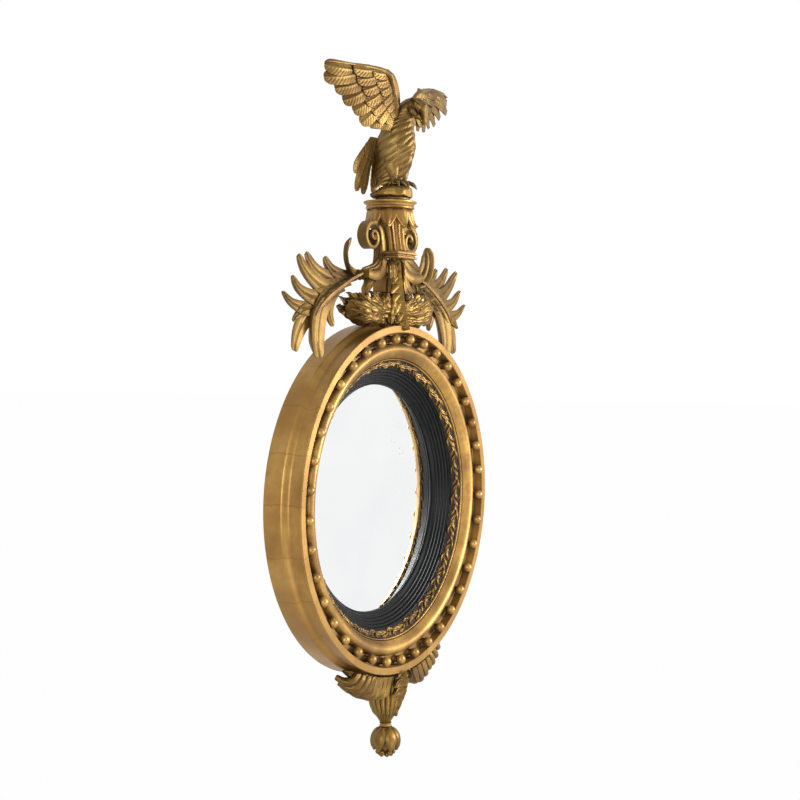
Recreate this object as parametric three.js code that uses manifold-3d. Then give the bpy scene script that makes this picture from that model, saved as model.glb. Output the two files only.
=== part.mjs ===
// A round convex mirror in a turned and carved giltwood frame, with an eagle crest and a leafy apron.
// Millimetres, +Z up. The wall is the plane y = 0 and the mirror faces -Y; the origin is the centre
// of the round case on the wall plane. Right and left are those of someone who faces the mirror.
import * as THREE from "three";
import { mergeGeometries, mergeVertices } from "three/addons/utils/BufferGeometryUtils.js";
import Module from "manifold-3d";

const wasm = await Module();
wasm.setup();

// ---------------------------------------------------------------- driving dimensions

const CLEAR = 0.3; // gap between pieces that touch
const CRUMB = 0.01; // mm3; no real body is this small
const RING_SIDES = 40; // facets round each turned ring

// Round case and its mouldings, in from the outside
const CASE_SWELL = 3.6; // how far the rear of the drum stands out past the rim
const CASE_CHAMFER = 1.5;
const FLARE_DEPTH = 33; // from the wall to where the drum's flare ends
const CAVETTO_DEPTH = 6; // how far the hollow behind the rim is cut in
const RIM_FILLET = 4;
const RIM_WIDTH = 12;
const COVE_WIDTH = 18.2;
const COVE_DEPTH = 15.8;
const BALL_RING_R = 270; // circle through the centres of the balls
const BALL_INSET = 7.9; // from the cove's inner edge to that circle
const BALL_R = 7.5;
const BALL_SINK = 1.8; // balls' centres stand this far behind the rim
const BALL_COUNT = 37;
const CHANNEL_BASE = 10.6; // wood under the cove's floor
const MOULD_WIDTH = 28.3;
const MOULD_RISE = 11; // swell of the inner moulding over the cove's floor
const BEAD_R = 1.5;
const BEAD_RISE = -4.3; // the bead lies this far behind the cove's floor
const BAND_WIDTH = 11.3; // carved leaf band
const BAND_FALL = 13.4;
const BAND_BACK = 6.6; // wood behind the band's inner edge
const SLIP_WIDTH = 29.5; // ebonised slip round the glass
const SLIP_FALL = 22;
const SLIP_REEDS = 5;
const REED_HEIGHT = 2;
const REEDED_SHARE = 0.84; // of the slip's slope, the rest is its flat lip
const SLIP_LIP = 2.2;
const GLASS_REBATE = 7.6; // how far the glass runs in behind the slip
const GLASS_THICKNESS = 3;
const GLASS_CURVE_R = 1500;
const GLASS_PLAY = 0.6; // behind the edge of the glass
const GLAZING_ROOM = 1.8; // from the back of the slip to the backboard
const BOARD_THICKNESS = 6;
const BOARD_LEDGE = 10;
const BLOCK_COUNT = 6;
const BOARD_SCREW_COUNT = 4;
const BLOCK_LENGTH = 26;
const BLOCK_OVERLAP = 8; // how far a glazing block reaches in over the glass and in from the slip's edge

// Screws
const WOOD_SCREW = { head: 3.6, headDepth: 2.2, shank: 1.6, length: 16 };
const STRAP_SCREW = { head: 3.4, headDepth: 2.1, shank: 1.6, length: 18 };
const HANGER_SCREW = { head: 3, headDepth: 1.1, shank: 1.3, length: 12 };

// Hangers let into the back of the case
const HANGER_ANGLE = 55.2; // degrees from the top of the case
const POCKET_DEPTH = 7.5;
const POCKET_MARGIN = 1.5;
const PLATE_WIDTH = 14;
const PLATE_DROP = 33;
const PLATE_THICKNESS = 1.3;
const HANGER_SCREW_DROPS = [11.5, 27.5];
const WIRE_R = 1.5;
const KNUCKLE_BORE_R = 2;
const KNUCKLE_WALL = 0.9;
const KNUCKLE_LENGTH = 11;
const RING_HALF_WIDTH = 9;
const RING_STRAIGHT = 10;

// Iron strap that ties the crest to the case
const STRAP_WIDTH = 18;
const STRAP_THICKNESS = 3;
const STRAP_BELOW = 50; // below the top of the case
const STRAP_ABOVE = 38;
const STRAP_SCREWS = [-38, -16, 24]; // heights from the top of the case

// Crest, heights counted from the top of the case
const CREST_AXIS = 42; // cap, rock and neck stand about this far from the wall
const MOUND_HEIGHT = 52;
const MOUND_HALF = 34; // where the mound meets the leafy curls
const STEM_HALF = 20;
const STEM_DEPTH = 26;
const STEM_BACK = 21.6; // from the wall
const RIB_HALF = 12; // narrow front part of the stem
const RIB_DEPTH = 9;
const COLLAR_BASE = 107.5;
const COLLAR_HEIGHT = 12;
const COLLAR_HALF = 31;
const COLLAR_FRONT = 78.1; // from the wall
const COLLAR_BACK = 49.1;
const COLLAR_GROOVE = 2.2;
const NECK_R = 15;
const NECK_FLUTES = 8;
const CAP_BASE = 196;
const CAP_HEIGHT = 8.5;
const CAP_R = 45;
const LOTUS_COUNT = 8;
const LOTUS_DROP = 32;
const DISC_R = 27;
const DISC_HEIGHT = 5.8;
const ROCK_R = 37.5;
const ROCK_HEIGHT = 18;
const EAGLE_HEIGHT = 150; // from the rock to the crown of the head
const EAGLE_DRAWN = 150; // height that the bird's points below are drawn at
const SPRAY_REACH = 198; // from the end of the scroll
const SPRAY_DRAWN = 198; // reach that the spray's points below are drawn at

// Scrolls beside the neck
const SCROLL_X = 57;
const SCROLL_Z = 142;
const SCROLL_R = 21;
const SCROLL_TURNS = 1.75;
const SCROLL_FRONT = 48.8; // from the wall
const SCROLL_DEPTH = 20;
const SCROLL_END = new THREE.Vector3(86, -40, 80);

// Apron, heights counted down from the bottom of the case
const CALYX_TOP_R = 36;
const CALYX_DROP = 84;
const APRON_AXIS = 39; // from the wall
const FINIAL_NECK_R = 9.2;
const FINIAL_NECK_HEIGHT = 6;
const BUD_R = 26;
const BUD_HEIGHT = 52;
const PETAL_COUNT = 6;

// ---------------------------------------------------------------- derived sizes

const coveInnerR = BALL_RING_R - BALL_INSET;
const rimInnerR = coveInnerR + COVE_WIDTH;
const rimOuterR = rimInnerR + RIM_WIDTH;
const caseR = rimOuterR + CASE_SWELL;
const bandOuterR = coveInnerR - MOULD_WIDTH;
const slipOuterR = bandOuterR - BAND_WIDTH;
const sightR = slipOuterR - SLIP_WIDTH;
const glassR = sightR + GLASS_REBATE;
const glassBackDepth = glassSag(glassR) - glassSag(sightR) + GLASS_THICKNESS + GLASS_PLAY;
const frontStack = COVE_DEPTH - BEAD_RISE + BAND_FALL + SLIP_FALL + SLIP_LIP + glassBackDepth;
const caseDepth = frontStack + GLAZING_ROOM + BOARD_THICKNESS + CLEAR; // from the wall to the front rim
const frontY = -caseDepth;
const coveFloorY = frontY + COVE_DEPTH;
const seatY = coveFloorY + CHANNEL_BASE;
const bandFrontY = coveFloorY - BEAD_RISE;
const bandInnerY = bandFrontY + BAND_FALL;
const ledgeY = bandInnerY + BAND_BACK;
const slipInnerY = bandInnerY + SLIP_FALL;
const slipLipY = slipInnerY + SLIP_LIP - CLEAR;
const slipBoreR = slipOuterR + 3.5;
const boardR = slipBoreR + BOARD_LEDGE;
const hangerR = (boardR + caseR) / 2;
const hangerX = hangerR * Math.sin(THREE.MathUtils.degToRad(HANGER_ANGLE));
const hangerZ = hangerR * Math.cos(THREE.MathUtils.degToRad(HANGER_ANGLE));
const glassApexY = slipLipY + CLEAR - glassSag(sightR);
const slipBackY = glassFrontY(glassR) + GLASS_THICKNESS + GLASS_PLAY;

/** How far the convex glass has fallen back at a distance from its centre. */
function glassSag(r) {
  return GLASS_CURVE_R - Math.sqrt(GLASS_CURVE_R ** 2 - r ** 2);
}

/** Front surface of the glass at a distance from its centre. */
function glassFrontY(r) {
  return glassApexY + glassSag(r);
}

// ---------------------------------------------------------------- geometry helpers

/** Position-only copy with shared vertices, faces turned outwards, and no collapsed or doubled faces. */
function closed(geometry) {
  const bare = new THREE.BufferGeometry();
  bare.setAttribute("position", geometry.getAttribute("position").clone());
  bare.setIndex(geometry.index ? geometry.index.clone() : null);
  const merged = mergeVertices(bare, 1e-3);
  const old = merged.index.array;
  const faces = new Map();
  for (let i = 0; i < old.length; i += 3) {
    const face = [old[i], old[i + 1], old[i + 2]];
    const key = [...face].sort((a, b) => a - b).join();
    if (faces.has(key)) faces.delete(key);
    else if (new Set(face).size === 3) faces.set(key, face);
  }
  merged.setIndex([...faces.values()].flat());
  if (signedVolume(merged) < 0) turnFaces(merged);
  return merged;
}

/** Volume inside an indexed surface, negative where its faces point inwards. */
function signedVolume(geometry) {
  const position = geometry.getAttribute("position");
  const index = geometry.index.array;
  const [a, b, c] = [0, 1, 2].map(() => new THREE.Vector3());
  let total = 0;
  for (let i = 0; i < index.length; i += 3) {
    a.fromBufferAttribute(position, index[i]);
    b.fromBufferAttribute(position, index[i + 1]);
    c.fromBufferAttribute(position, index[i + 2]);
    total += a.dot(b.cross(c)) / 6;
  }
  return total;
}

function turnFaces(geometry) {
  const index = geometry.index.array;
  for (let i = 0; i < index.length; i += 3) {
    [index[i + 1], index[i + 2]] = [index[i + 2], index[i + 1]];
  }
}

/** A closed geometry as a solid for joining and cutting. */
function solidOf(geometry) {
  const shape = closed(geometry);
  return new wasm.Manifold(
    new wasm.Mesh({
      numProp: 3,
      vertProperties: new Float32Array(shape.getAttribute("position").array),
      triVerts: new Uint32Array(shape.index.array),
    }),
  );
}

/** Surface of a solid, without any crumb that a join or cut left beside it. */
function geometryOf(solid) {
  const bodies = solid.decompose().filter((body) => body.volume() > CRUMB);
  const mesh = bodies.reduce((whole, body) => whole.add(body)).getMesh();
  const positions = new Float32Array(mesh.numVert * 3);
  for (let i = 0; i < mesh.numVert; i += 1) {
    positions.set(mesh.vertProperties.subarray(i * mesh.numProp, i * mesh.numProp + 3), i * 3);
  }
  const geometry = new THREE.BufferGeometry();
  geometry.setAttribute("position", new THREE.BufferAttribute(positions, 3));
  geometry.setIndex(new THREE.BufferAttribute(mesh.triVerts, 1));
  return geometry;
}

/** One solid from several overlapping geometries. */
function join(...geometries) {
  const [first, ...rest] = geometries.map(solidOf);
  return geometryOf(rest.reduce((whole, next) => whole.add(next), first));
}

/** A geometry with the space of the tools taken out of it. */
function cut(geometry, ...tools) {
  const rest = tools.map(solidOf).reduce((whole, tool) => whole.subtract(tool), solidOf(geometry));
  return geometryOf(rest);
}

/** The part of a geometry that lies inside a box given by its lowest and highest corners. */
function within(geometry, low, high) {
  return geometryOf(solidOf(geometry).intersect(solidOf(block(low, high))));
}

function block(low, high) {
  const size = new THREE.Vector3().subVectors(high, low);
  const centre = new THREE.Vector3().addVectors(low, high).multiplyScalar(0.5);
  return new THREE.BoxGeometry(size.x, size.y, size.z).translate(centre.x, centre.y, centre.z);
}

/** The same geometry on the other side of the plane x = 0. */
function mirrored(geometry) {
  return closed(geometry.clone().scale(-1, 1, 1));
}

/** A ring or disc turned about the y axis from [radius, y] points; a ring's profile closes itself. */
function turned(profile, { ring = true, sides = RING_SIDES } = {}) {
  const points = profile.map(([r, y]) => new THREE.Vector2(r, y));
  if (ring) points.push(points[0].clone());
  return closed(new THREE.LatheGeometry(points, sides));
}

/** The same, turned about the z axis from [radius, z] points. */
function turnedUpright(profile, sides) {
  return turned(profile, { ring: false, sides }).rotateX(Math.PI / 2);
}

/** A solid skinned over rings of points; a ring of one point is a tip. */
function loft(rings, { looped = false } = {}) {
  const points = [];
  const faces = [];
  const starts = rings.map((ring) => {
    points.push(...ring);
    return points.length - ring.length;
  });
  const bands = looped ? rings.length : rings.length - 1;
  for (let i = 0; i < bands; i += 1) {
    const next = (i + 1) % rings.length;
    const count = Math.max(rings[i].length, rings[next].length);
    for (let j = 0; j < count; j += 1) {
      const k = (j + 1) % count;
      const [a, b] = [j, k].map((n) => starts[i] + (n % rings[i].length));
      const [c, d] = [j, k].map((n) => starts[next] + (n % rings[next].length));
      faces.push(a, b, c, b, d, c);
    }
  }
  if (!looped) {
    capRing(rings[0], starts[0], points, faces, true);
    capRing(rings.at(-1), starts.at(-1), points, faces, false);
  }
  const geometry = new THREE.BufferGeometry();
  const coordinates = points.flatMap((point) => point.toArray());
  geometry.setAttribute("position", new THREE.Float32BufferAttribute(coordinates, 3));
  geometry.setIndex(faces);
  return closed(geometry);
}

/** Closes the end of a loft with a fan round the middle of its ring. */
function capRing(ring, start, points, faces, first) {
  if (ring.length < 3) return;
  const middle = new THREE.Vector3();
  ring.forEach((point) => middle.addScaledVector(point, 1 / ring.length));
  const centre = points.push(middle) - 1;
  ring.forEach((_, j) => {
    const k = (j + 1) % ring.length;
    faces.push(centre, start + (first ? k : j), start + (first ? j : k));
  });
}

function curve(...points) {
  return new THREE.CatmullRomCurve3(points.map(([x, y, z]) => new THREE.Vector3(x, y, z)));
}

/**
 * Sweeps a section along a path. section(t) gives [across, outward] points, where across is the given
 * direction squared to the path and outward is square to both. With tip the end runs to a point.
 */
function sweep({ path, across, steps, section, tip = false }) {
  const rings = [];
  for (let i = 0; i <= steps; i += 1) {
    const t = i / steps;
    const point = path.getPoint(t);
    const along = path.getTangent(t);
    const side = across.clone().addScaledVector(along, -across.dot(along)).normalize();
    const outward = along.clone().cross(side);
    rings.push(
      section(t).map(([s, n]) => point.clone().addScaledVector(side, s).addScaledVector(outward, n)),
    );
  }
  if (tip) rings[steps] = [path.getPoint(1)];
  return loft(rings);
}

/** Straight-line value between listed numbers, spread evenly over 0 to 1. */
function between(values, t) {
  const place = Math.min(Math.max(t, 0), 1) * (values.length - 1);
  const low = Math.min(Math.floor(place), values.length - 2);
  return THREE.MathUtils.lerp(values[low], values[low + 1], place - low);
}

function ellipse(a, b, count, ripple = 0) {
  return Array.from({ length: count }, (_, i) => {
    const angle = (i / count) * 2 * Math.PI;
    const swell = i % 2 ? 1 - ripple : 1;
    return [a * swell * Math.cos(angle), b * swell * Math.sin(angle)];
  });
}

const AXIS_X = new THREE.Vector3(1, 0, 0);
const AXIS_Y = new THREE.Vector3(0, 1, 0);

/** Section of a leaf: raised edges, a hollow each side, a middle rib, and a rounded back. */
function leafSection(half, thickness, rib) {
  return [
    [-half, 0],
    [-half * 0.45, -rib * 0.6],
    [0, rib],
    [half * 0.45, -rib * 0.6],
    [half, 0],
    [0, -thickness],
  ];
}

/** A curved finger of carved leaf that lies in the plane of the frame, hollow to the front. */
function leaflet(points, widths, depth) {
  return sweep({
    path: curve(...points),
    across: AXIS_Y,
    steps: 3,
    section: (t) => {
      const half = between(widths, t) / 2;
      const deep = depth * (0.5 + 0.5 * (1 - t));
      return [
        [-deep * 0.55, -half],
        [0, 0],
        [-deep * 0.55, half],
        [deep * 0.5, 0],
      ];
    },
  });
}

// ---------------------------------------------------------------- materials

const finish = (color, roughness, metalness) => () =>
  new THREE.MeshStandardMaterial({ color, roughness, metalness, flatShading: true });
const gilt = finish("#b4883f", 0.38, 0.85);
const giltCarved = finish("#a5792f", 0.46, 0.8);
const ebonised = finish("#1d1e20", 0.35, 0);
const silvered = finish("#eef1f1", 0.04, 1);
const pine = finish("#9a7a52", 0.8, 0);
const brass = finish("#a98a45", 0.35, 1);
const iron = finish("#3b3937", 0.6, 0.9);
const steel = finish("#8f8f8c", 0.4, 1);

function piece(name, geometry, material) {
  const mesh = new THREE.Mesh(closed(geometry), material());
  mesh.name = name;
  return mesh;
}

/** Carved piece for the right side and its twin for the left. */
function pairOf(name, geometry) {
  return [
    piece(name + "_right", geometry, giltCarved),
    piece(name + "_left", mirrored(geometry), giltCarved),
  ];
}

// ---------------------------------------------------------------- screws

/** Countersunk screw whose head lies in the plane y = 0 and whose point runs to -y. */
function screwShape({ head, headDepth, shank, length }, grow = 0, sides = 6) {
  return turned(
    [
      [0, 0],
      [head + grow, 0],
      [shank + grow, -headDepth - grow],
      [shank + grow, -length * 0.75],
      [0, -length - grow],
    ],
    { ring: false, sides },
  );
}

/** Round-headed screw; its head stands out to +y from the plane y = 0. */
function domedScrewShape({ head, headDepth, shank, length }, sides = 6) {
  return turned(
    [
      [0, headDepth],
      [head * 0.7, headDepth * 0.75],
      [head, 0],
      [shank, 0],
      [shank, -length * 0.75],
      [0, -length],
    ],
    { ring: false, sides },
  );
}

function drilled({ shank, length }, sides = 6) {
  const hole = [
    [0, 1],
    [shank + CLEAR, 1],
    [shank + CLEAR, -length * 0.75],
    [0, -length - CLEAR],
  ];
  return turned(hole, { ring: false, sides });
}

// ---------------------------------------------------------------- turned rings

/** Half outline of the drum: front rim, hollow behind it, flare, straight rear, and the stepped inside. */
function caseProfile() {
  const filletY = frontY + RIM_FILLET;
  const hollowR = caseR - CASE_SWELL - CAVETTO_DEPTH;
  const flareStart = -FLARE_DEPTH - 11;
  return [
    [rimInnerR, frontY],
    [rimOuterR, frontY],
    [rimOuterR, filletY],
    [hollowR + 2, filletY + 2.5],
    [hollowR, filletY + 10],
    [hollowR + 1.5, flareStart],
    [caseR, -FLARE_DEPTH],
    [caseR, -CASE_CHAMFER],
    [caseR - CASE_CHAMFER, 0],
    [boardR + CLEAR, 0],
    [boardR + CLEAR, -BOARD_THICKNESS - CLEAR],
    [slipBoreR, -BOARD_THICKNESS - CLEAR],
    [slipBoreR, ledgeY],
    [bandOuterR, ledgeY],
    [bandOuterR, seatY],
    [rimInnerR, seatY],
  ];
}

function hangerPocket() {
  const half = RING_HALF_WIDTH + WIRE_R + POCKET_MARGIN;
  const top = RING_STRAIGHT + RING_HALF_WIDTH + WIRE_R + POCKET_MARGIN;
  return block(
    new THREE.Vector3(hangerX - half, -POCKET_DEPTH, hangerZ - PLATE_DROP - CLEAR),
    new THREE.Vector3(hangerX + half, 1, hangerZ + top),
  );
}

function strapGroove() {
  return block(
    new THREE.Vector3(-STRAP_WIDTH / 2 - CLEAR, -STRAP_THICKNESS - 2 * CLEAR, caseR - STRAP_BELOW - CLEAR),
    new THREE.Vector3(STRAP_WIDTH / 2 + CLEAR, 1, caseR + 1),
  );
}

const boardScrewR = slipBoreR + BOARD_LEDGE / 2;

/** Places of the screws round the backboard. */
function boardScrewPlaces() {
  return Array.from({ length: BOARD_SCREW_COUNT }, (_, i) => {
    const angle = ((i + 0.5) / BOARD_SCREW_COUNT) * 2 * Math.PI;
    return [boardScrewR * Math.sin(angle), 0, boardScrewR * Math.cos(angle)];
  });
}

const hangerPlateY = -POCKET_DEPTH + CLEAR + PLATE_THICKNESS;

function hangerScrewPlaces(side) {
  return HANGER_SCREW_DROPS.map((drop) => [side * hangerX, hangerPlateY, hangerZ - drop]);
}

function outerCase() {
  const tools = [hangerPocket(), mirrored(hangerPocket()), strapGroove()];
  boardScrewPlaces().forEach((place) => tools.push(drilled(WOOD_SCREW).translate(...place)));
  [-1, 1].forEach((side) =>
    hangerScrewPlaces(side).forEach((place) => tools.push(drilled(HANGER_SCREW).translate(...place))),
  );
  STRAP_SCREWS.forEach((height) =>
    tools.push(drilled(STRAP_SCREW).translate(0, -CLEAR, caseR + height)),
  );
  return piece("outer_case", cut(turned(caseProfile()), ...tools), gilt);
}

/** A ball on its short turned peg, which runs down into the cove's floor. */
function ballPeg() {
  const pegEnd = coveFloorY + CHANNEL_BASE / 2;
  const centreY = frontY + BALL_SINK;
  const polar = (degrees) => {
    const angle = THREE.MathUtils.degToRad(degrees);
    return [BALL_R * Math.sin(angle), centreY - BALL_R * Math.cos(angle)];
  };
  const profile = [[0, centreY - BALL_R], polar(42), polar(84), [BALL_R, pegEnd], [0, pegEnd]];
  return turned(profile, { ring: false, sides: 7 }).translate(0, 0, BALL_RING_R);
}

/** The cove round the mirror, with its ring of balls. */
function ballChannel() {
  const outerR = rimInnerR - CLEAR;
  const innerR = coveInnerR + CLEAR;
  const channel = turned([
    [outerR, frontY + 1.5],
    [outerR - 0.9, coveFloorY - COVE_DEPTH * 0.4],
    [outerR - 2, coveFloorY],
    [innerR, coveFloorY],
    [innerR, seatY - CLEAR],
    [outerR, seatY - CLEAR],
  ]);
  const pegs = Array.from({ length: BALL_COUNT }, (_, i) =>
    ballPeg().rotateY(((i + 0.5) / BALL_COUNT) * 2 * Math.PI),
  );
  return piece("ball_channel", join(channel, mergeGeometries(pegs)), gilt);
}

function innerMoulding() {
  const outerR = coveInnerR;
  const innerR = bandOuterR + CLEAR;
  const crestY = coveFloorY - MOULD_RISE;
  const beadY = bandFrontY;
  const swell = (share, depth) => [outerR - MOULD_WIDTH * share, crestY + depth];
  const profile = [
    [outerR, seatY - CLEAR],
    [outerR, coveFloorY],
    swell(0.09, 4.2),
    swell(0.22, 0.6),
    swell(0.4, 0.4),
    swell(0.64, 4.6),
    swell(0.86, 12),
    [innerR + 2 * BEAD_R, beadY - 0.4],
    [innerR + BEAD_R, beadY - BEAD_R - 0.6],
    [innerR, beadY - 0.2],
    [innerR, seatY - CLEAR],
  ];
  return piece("inner_moulding", turned(profile), gilt);
}

function foliateBand() {
  const innerR = slipOuterR + CLEAR;
  const outerR = bandOuterR - CLEAR;
  const profile = [
    [outerR, ledgeY - CLEAR],
    [outerR, bandFrontY + 0.5],
    [outerR - BAND_WIDTH * 0.45, bandFrontY + BAND_FALL * 0.3],
    [innerR, bandInnerY],
    [innerR, ledgeY - CLEAR],
  ];
  return piece("foliate_band", turned(profile), giltCarved);
}

/** The black slip: a slope of reeds down to a flat lip over the edge of the glass. */
function ebonisedSlip() {
  const top = new THREE.Vector2(slipOuterR, bandInnerY);
  const foot = new THREE.Vector2(sightR, slipInnerY);
  const reedsEnd = top.clone().lerp(foot, REEDED_SHARE);
  const outward = foot.clone().sub(top).normalize().rotateAround(new THREE.Vector2(), Math.PI / 2);
  if (outward.y > 0) outward.negate();
  const profile = [top.toArray()];
  for (let i = 0; i < SLIP_REEDS; i += 1) {
    const crown = top.clone().lerp(reedsEnd, (i + 0.5) / SLIP_REEDS);
    profile.push(crown.addScaledVector(outward, REED_HEIGHT).toArray());
    profile.push(top.clone().lerp(reedsEnd, (i + 1) / SLIP_REEDS).toArray());
  }
  profile.push([sightR, slipInnerY]);
  profile.push([sightR, slipLipY]);
  profile.push([glassR + CLEAR, slipLipY]);
  profile.push([glassR + CLEAR, slipBackY]);
  profile.push([slipBoreR - CLEAR, slipBackY]);
  profile.push([slipBoreR - CLEAR, ledgeY + CLEAR]);
  profile.push([slipOuterR, ledgeY + CLEAR]);
  return piece("ebonised_slip", turned(profile), ebonised);
}

function mirrorPlate() {
  const radii = [0, 0.55, 1].map((share) => share * glassR);
  const front = radii.map((r) => [r, glassFrontY(r)]);
  const back = radii.map((r) => [r, glassFrontY(r) + GLASS_THICKNESS]).reverse();
  return piece("mirror_plate", turned([...front, ...back], { ring: false }), silvered);
}

function backboard() {
  const disc = turned(
    [
      [0, -BOARD_THICKNESS],
      [boardR, -BOARD_THICKNESS],
      [boardR, 0],
      [0, 0],
    ],
    { ring: false },
  );
  const holes = boardScrewPlaces().map((place) => screwShape(WOOD_SCREW, CLEAR).translate(...place));
  return piece("backboard", cut(disc, ...holes), pine);
}

/** Small wedge glued behind the slip to hold the edge of the glass. */
function glazingBlock() {
  const backY = -BOARD_THICKNESS - CLEAR;
  const innerR = glassR - BLOCK_OVERLAP;
  const outline = new THREE.Shape([
    new THREE.Vector2(innerR, glassFrontY(innerR) + GLASS_THICKNESS + 2 * CLEAR),
    new THREE.Vector2(glassR + CLEAR, slipBackY + CLEAR),
    new THREE.Vector2(slipBoreR - BLOCK_OVERLAP, slipBackY + CLEAR),
    new THREE.Vector2(slipBoreR - BLOCK_OVERLAP, backY),
    new THREE.Vector2(innerR, backY),
  ]);
  const wedge = new THREE.ExtrudeGeometry(outline, { depth: BLOCK_LENGTH, bevelEnabled: false });
  return wedge.translate(0, 0, -BLOCK_LENGTH / 2);
}

function backFittings() {
  const pieces = [];
  for (let i = 0; i < BLOCK_COUNT; i += 1) {
    const mesh = piece("glazing_block_" + (i + 1), glazingBlock(), pine);
    mesh.rotation.y = (i / BLOCK_COUNT) * 2 * Math.PI;
    pieces.push(mesh);
  }
  boardScrewPlaces().forEach((place, i) => {
    const mesh = piece("backboard_screw_" + (i + 1), screwShape(WOOD_SCREW), steel);
    mesh.position.set(...place);
    pieces.push(mesh);
  });
  return pieces;
}

// ---------------------------------------------------------------- hangers

/** Strap plate with the rolled knuckle that the ring swings in; its origin is the knuckle's axis. */
function hangerPlate() {
  const axisToPlate = hangerPlateY - hangerAxisY();
  const half = PLATE_WIDTH / 2;
  const shape = new THREE.Shape();
  shape.moveTo(half, 1);
  shape.lineTo(-half, 1);
  shape.lineTo(-half, -PLATE_DROP + half);
  shape.absarc(0, -PLATE_DROP + half, half, Math.PI, 2 * Math.PI, false);
  const settings = { depth: PLATE_THICKNESS, bevelEnabled: false, curveSegments: 6 };
  const plate = new THREE.ExtrudeGeometry(shape, settings);
  plate.rotateX(Math.PI / 2).translate(0, axisToPlate, 0);
  const flat = closed(plate);
  const outerR = KNUCKLE_BORE_R + KNUCKLE_WALL;
  const tube = turned(
    [
      [KNUCKLE_BORE_R, -KNUCKLE_LENGTH / 2],
      [outerR, -KNUCKLE_LENGTH / 2],
      [outerR, KNUCKLE_LENGTH / 2],
      [KNUCKLE_BORE_R, KNUCKLE_LENGTH / 2],
    ],
    { sides: 10 },
  ).rotateZ(Math.PI / 2);
  const bore = turned(
    [
      [0, -KNUCKLE_LENGTH],
      [KNUCKLE_BORE_R, -KNUCKLE_LENGTH],
      [KNUCKLE_BORE_R, KNUCKLE_LENGTH],
      [0, KNUCKLE_LENGTH],
    ],
    { ring: false, sides: 10 },
  ).rotateZ(Math.PI / 2);
  const holes = HANGER_SCREW_DROPS.map((drop) => drilled(HANGER_SCREW).translate(0, axisToPlate, -drop));
  return cut(join(flat, tube), bore, ...holes);
}

/** Height of the knuckle's axis over the pocket's floor, as a y value. */
function hangerAxisY() {
  return -POCKET_DEPTH + CLEAR + KNUCKLE_BORE_R + KNUCKLE_WALL;
}

/** Wire ring with a straight bar through the knuckle, hanging down from it. */
function hangerRing() {
  const corners = [];
  const arcSteps = 6;
  corners.push([RING_HALF_WIDTH, 0], [-RING_HALF_WIDTH, 0]);
  for (let i = 0; i <= arcSteps; i += 1) {
    const angle = Math.PI + (i / arcSteps) * Math.PI;
    corners.push([RING_HALF_WIDTH * Math.cos(angle), -RING_STRAIGHT + RING_HALF_WIDTH * Math.sin(angle)]);
  }
  const rings = corners.map(([x, z], i) => {
    const here = new THREE.Vector2(x, z);
    const before = new THREE.Vector2(...corners.at(i - 1)).sub(here).normalize();
    const after = new THREE.Vector2(...corners[(i + 1) % corners.length]).sub(here).normalize();
    const inward = before.clone().add(after);
    const bend = inward.length() < 1e-6 ? 1 : Math.sqrt((1 - before.dot(after)) / 2);
    inward.normalize();
    return Array.from({ length: 6 }, (_, k) => {
      const angle = (k / 6) * 2 * Math.PI;
      const reach = (WIRE_R * Math.cos(angle)) / bend;
      return new THREE.Vector3(x + inward.x * reach, WIRE_R * Math.sin(angle), z + inward.y * reach);
    });
  });
  return loft(rings, { looped: true });
}

function hangers() {
  const pieces = [];
  [
    ["left", -1],
    ["right", 1],
  ].forEach(([label, side]) => {
    const plate = piece("hanger_plate_" + label, hangerPlate(), brass);
    const ring = piece("hanger_ring_" + label, hangerRing(), brass);
    [plate, ring].forEach((mesh) => mesh.position.set(side * hangerX, hangerAxisY(), hangerZ));
    pieces.push(plate, ring);
    hangerScrewPlaces(side).forEach((place, i) => {
      const screw = piece("hanger_screw_" + label + "_" + (i + 1), domedScrewShape(HANGER_SCREW), steel);
      screw.position.set(place[0], place[1] + CLEAR, place[2]);
      pieces.push(screw);
    });
  });
  return pieces;
}

// ---------------------------------------------------------------- crest

/** The round of the drum with the gap that whatever sits on it keeps. */
function drumSpace() {
  const length = 2 * caseDepth;
  return turned(
    [
      [0, -length],
      [caseR + CLEAR, -length],
      [caseR + CLEAR, length],
      [0, length],
    ],
    { ring: false, sides: 2 * RING_SIDES },
  ).translate(0, 0, -caseR);
}

function crestStrap() {
  const places = STRAP_SCREWS.map((height) => [0, -CLEAR, height]);
  const holes = places.map((place) => screwShape(STRAP_SCREW, CLEAR).translate(...place));
  const bar = block(
    new THREE.Vector3(-STRAP_WIDTH / 2, -STRAP_THICKNESS - CLEAR, -STRAP_BELOW),
    new THREE.Vector3(STRAP_WIDTH / 2, -CLEAR, STRAP_ABOVE),
  );
  const pieces = [piece("crest_strap", cut(bar, ...holes), iron)];
  places.forEach((place, i) => {
    const screw = piece("strap_screw_" + (i + 1), screwShape(STRAP_SCREW), steel);
    screw.position.set(...place);
    pieces.push(screw);
  });
  return pieces;
}

/** Carved leafy mound that straddles the top of the drum and carries the stem. */
function crestMound() {
  const middle = -(STRAP_THICKNESS + 2 * CLEAR) - 30;
  const path = curve([0, middle, -12], [0, middle, 10], [0, middle, 32], [0, middle + 1, MOUND_HEIGHT]);
  const body = sweep({
    path,
    across: AXIS_X,
    steps: 5,
    section: (t) => {
      const wide = between([50, 46, 38, 31, 27, 22], t);
      const deep = between([36, 33, 30, 27, 24, 19], t);
      return ellipse(wide, deep, 18, 0.09);
    },
  });
  const clipped = within(
    body,
    new THREE.Vector3(-MOUND_HALF, -caseDepth, -20),
    new THREE.Vector3(MOUND_HALF, -STRAP_THICKNESS - 2 * CLEAR, MOUND_HEIGHT),
  );
  const screwHole = drilled(STRAP_SCREW).translate(0, -CLEAR, STRAP_SCREWS[2]);
  return piece("crest_mound", cut(clipped, drumSpace(), screwHole), giltCarved);
}

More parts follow.
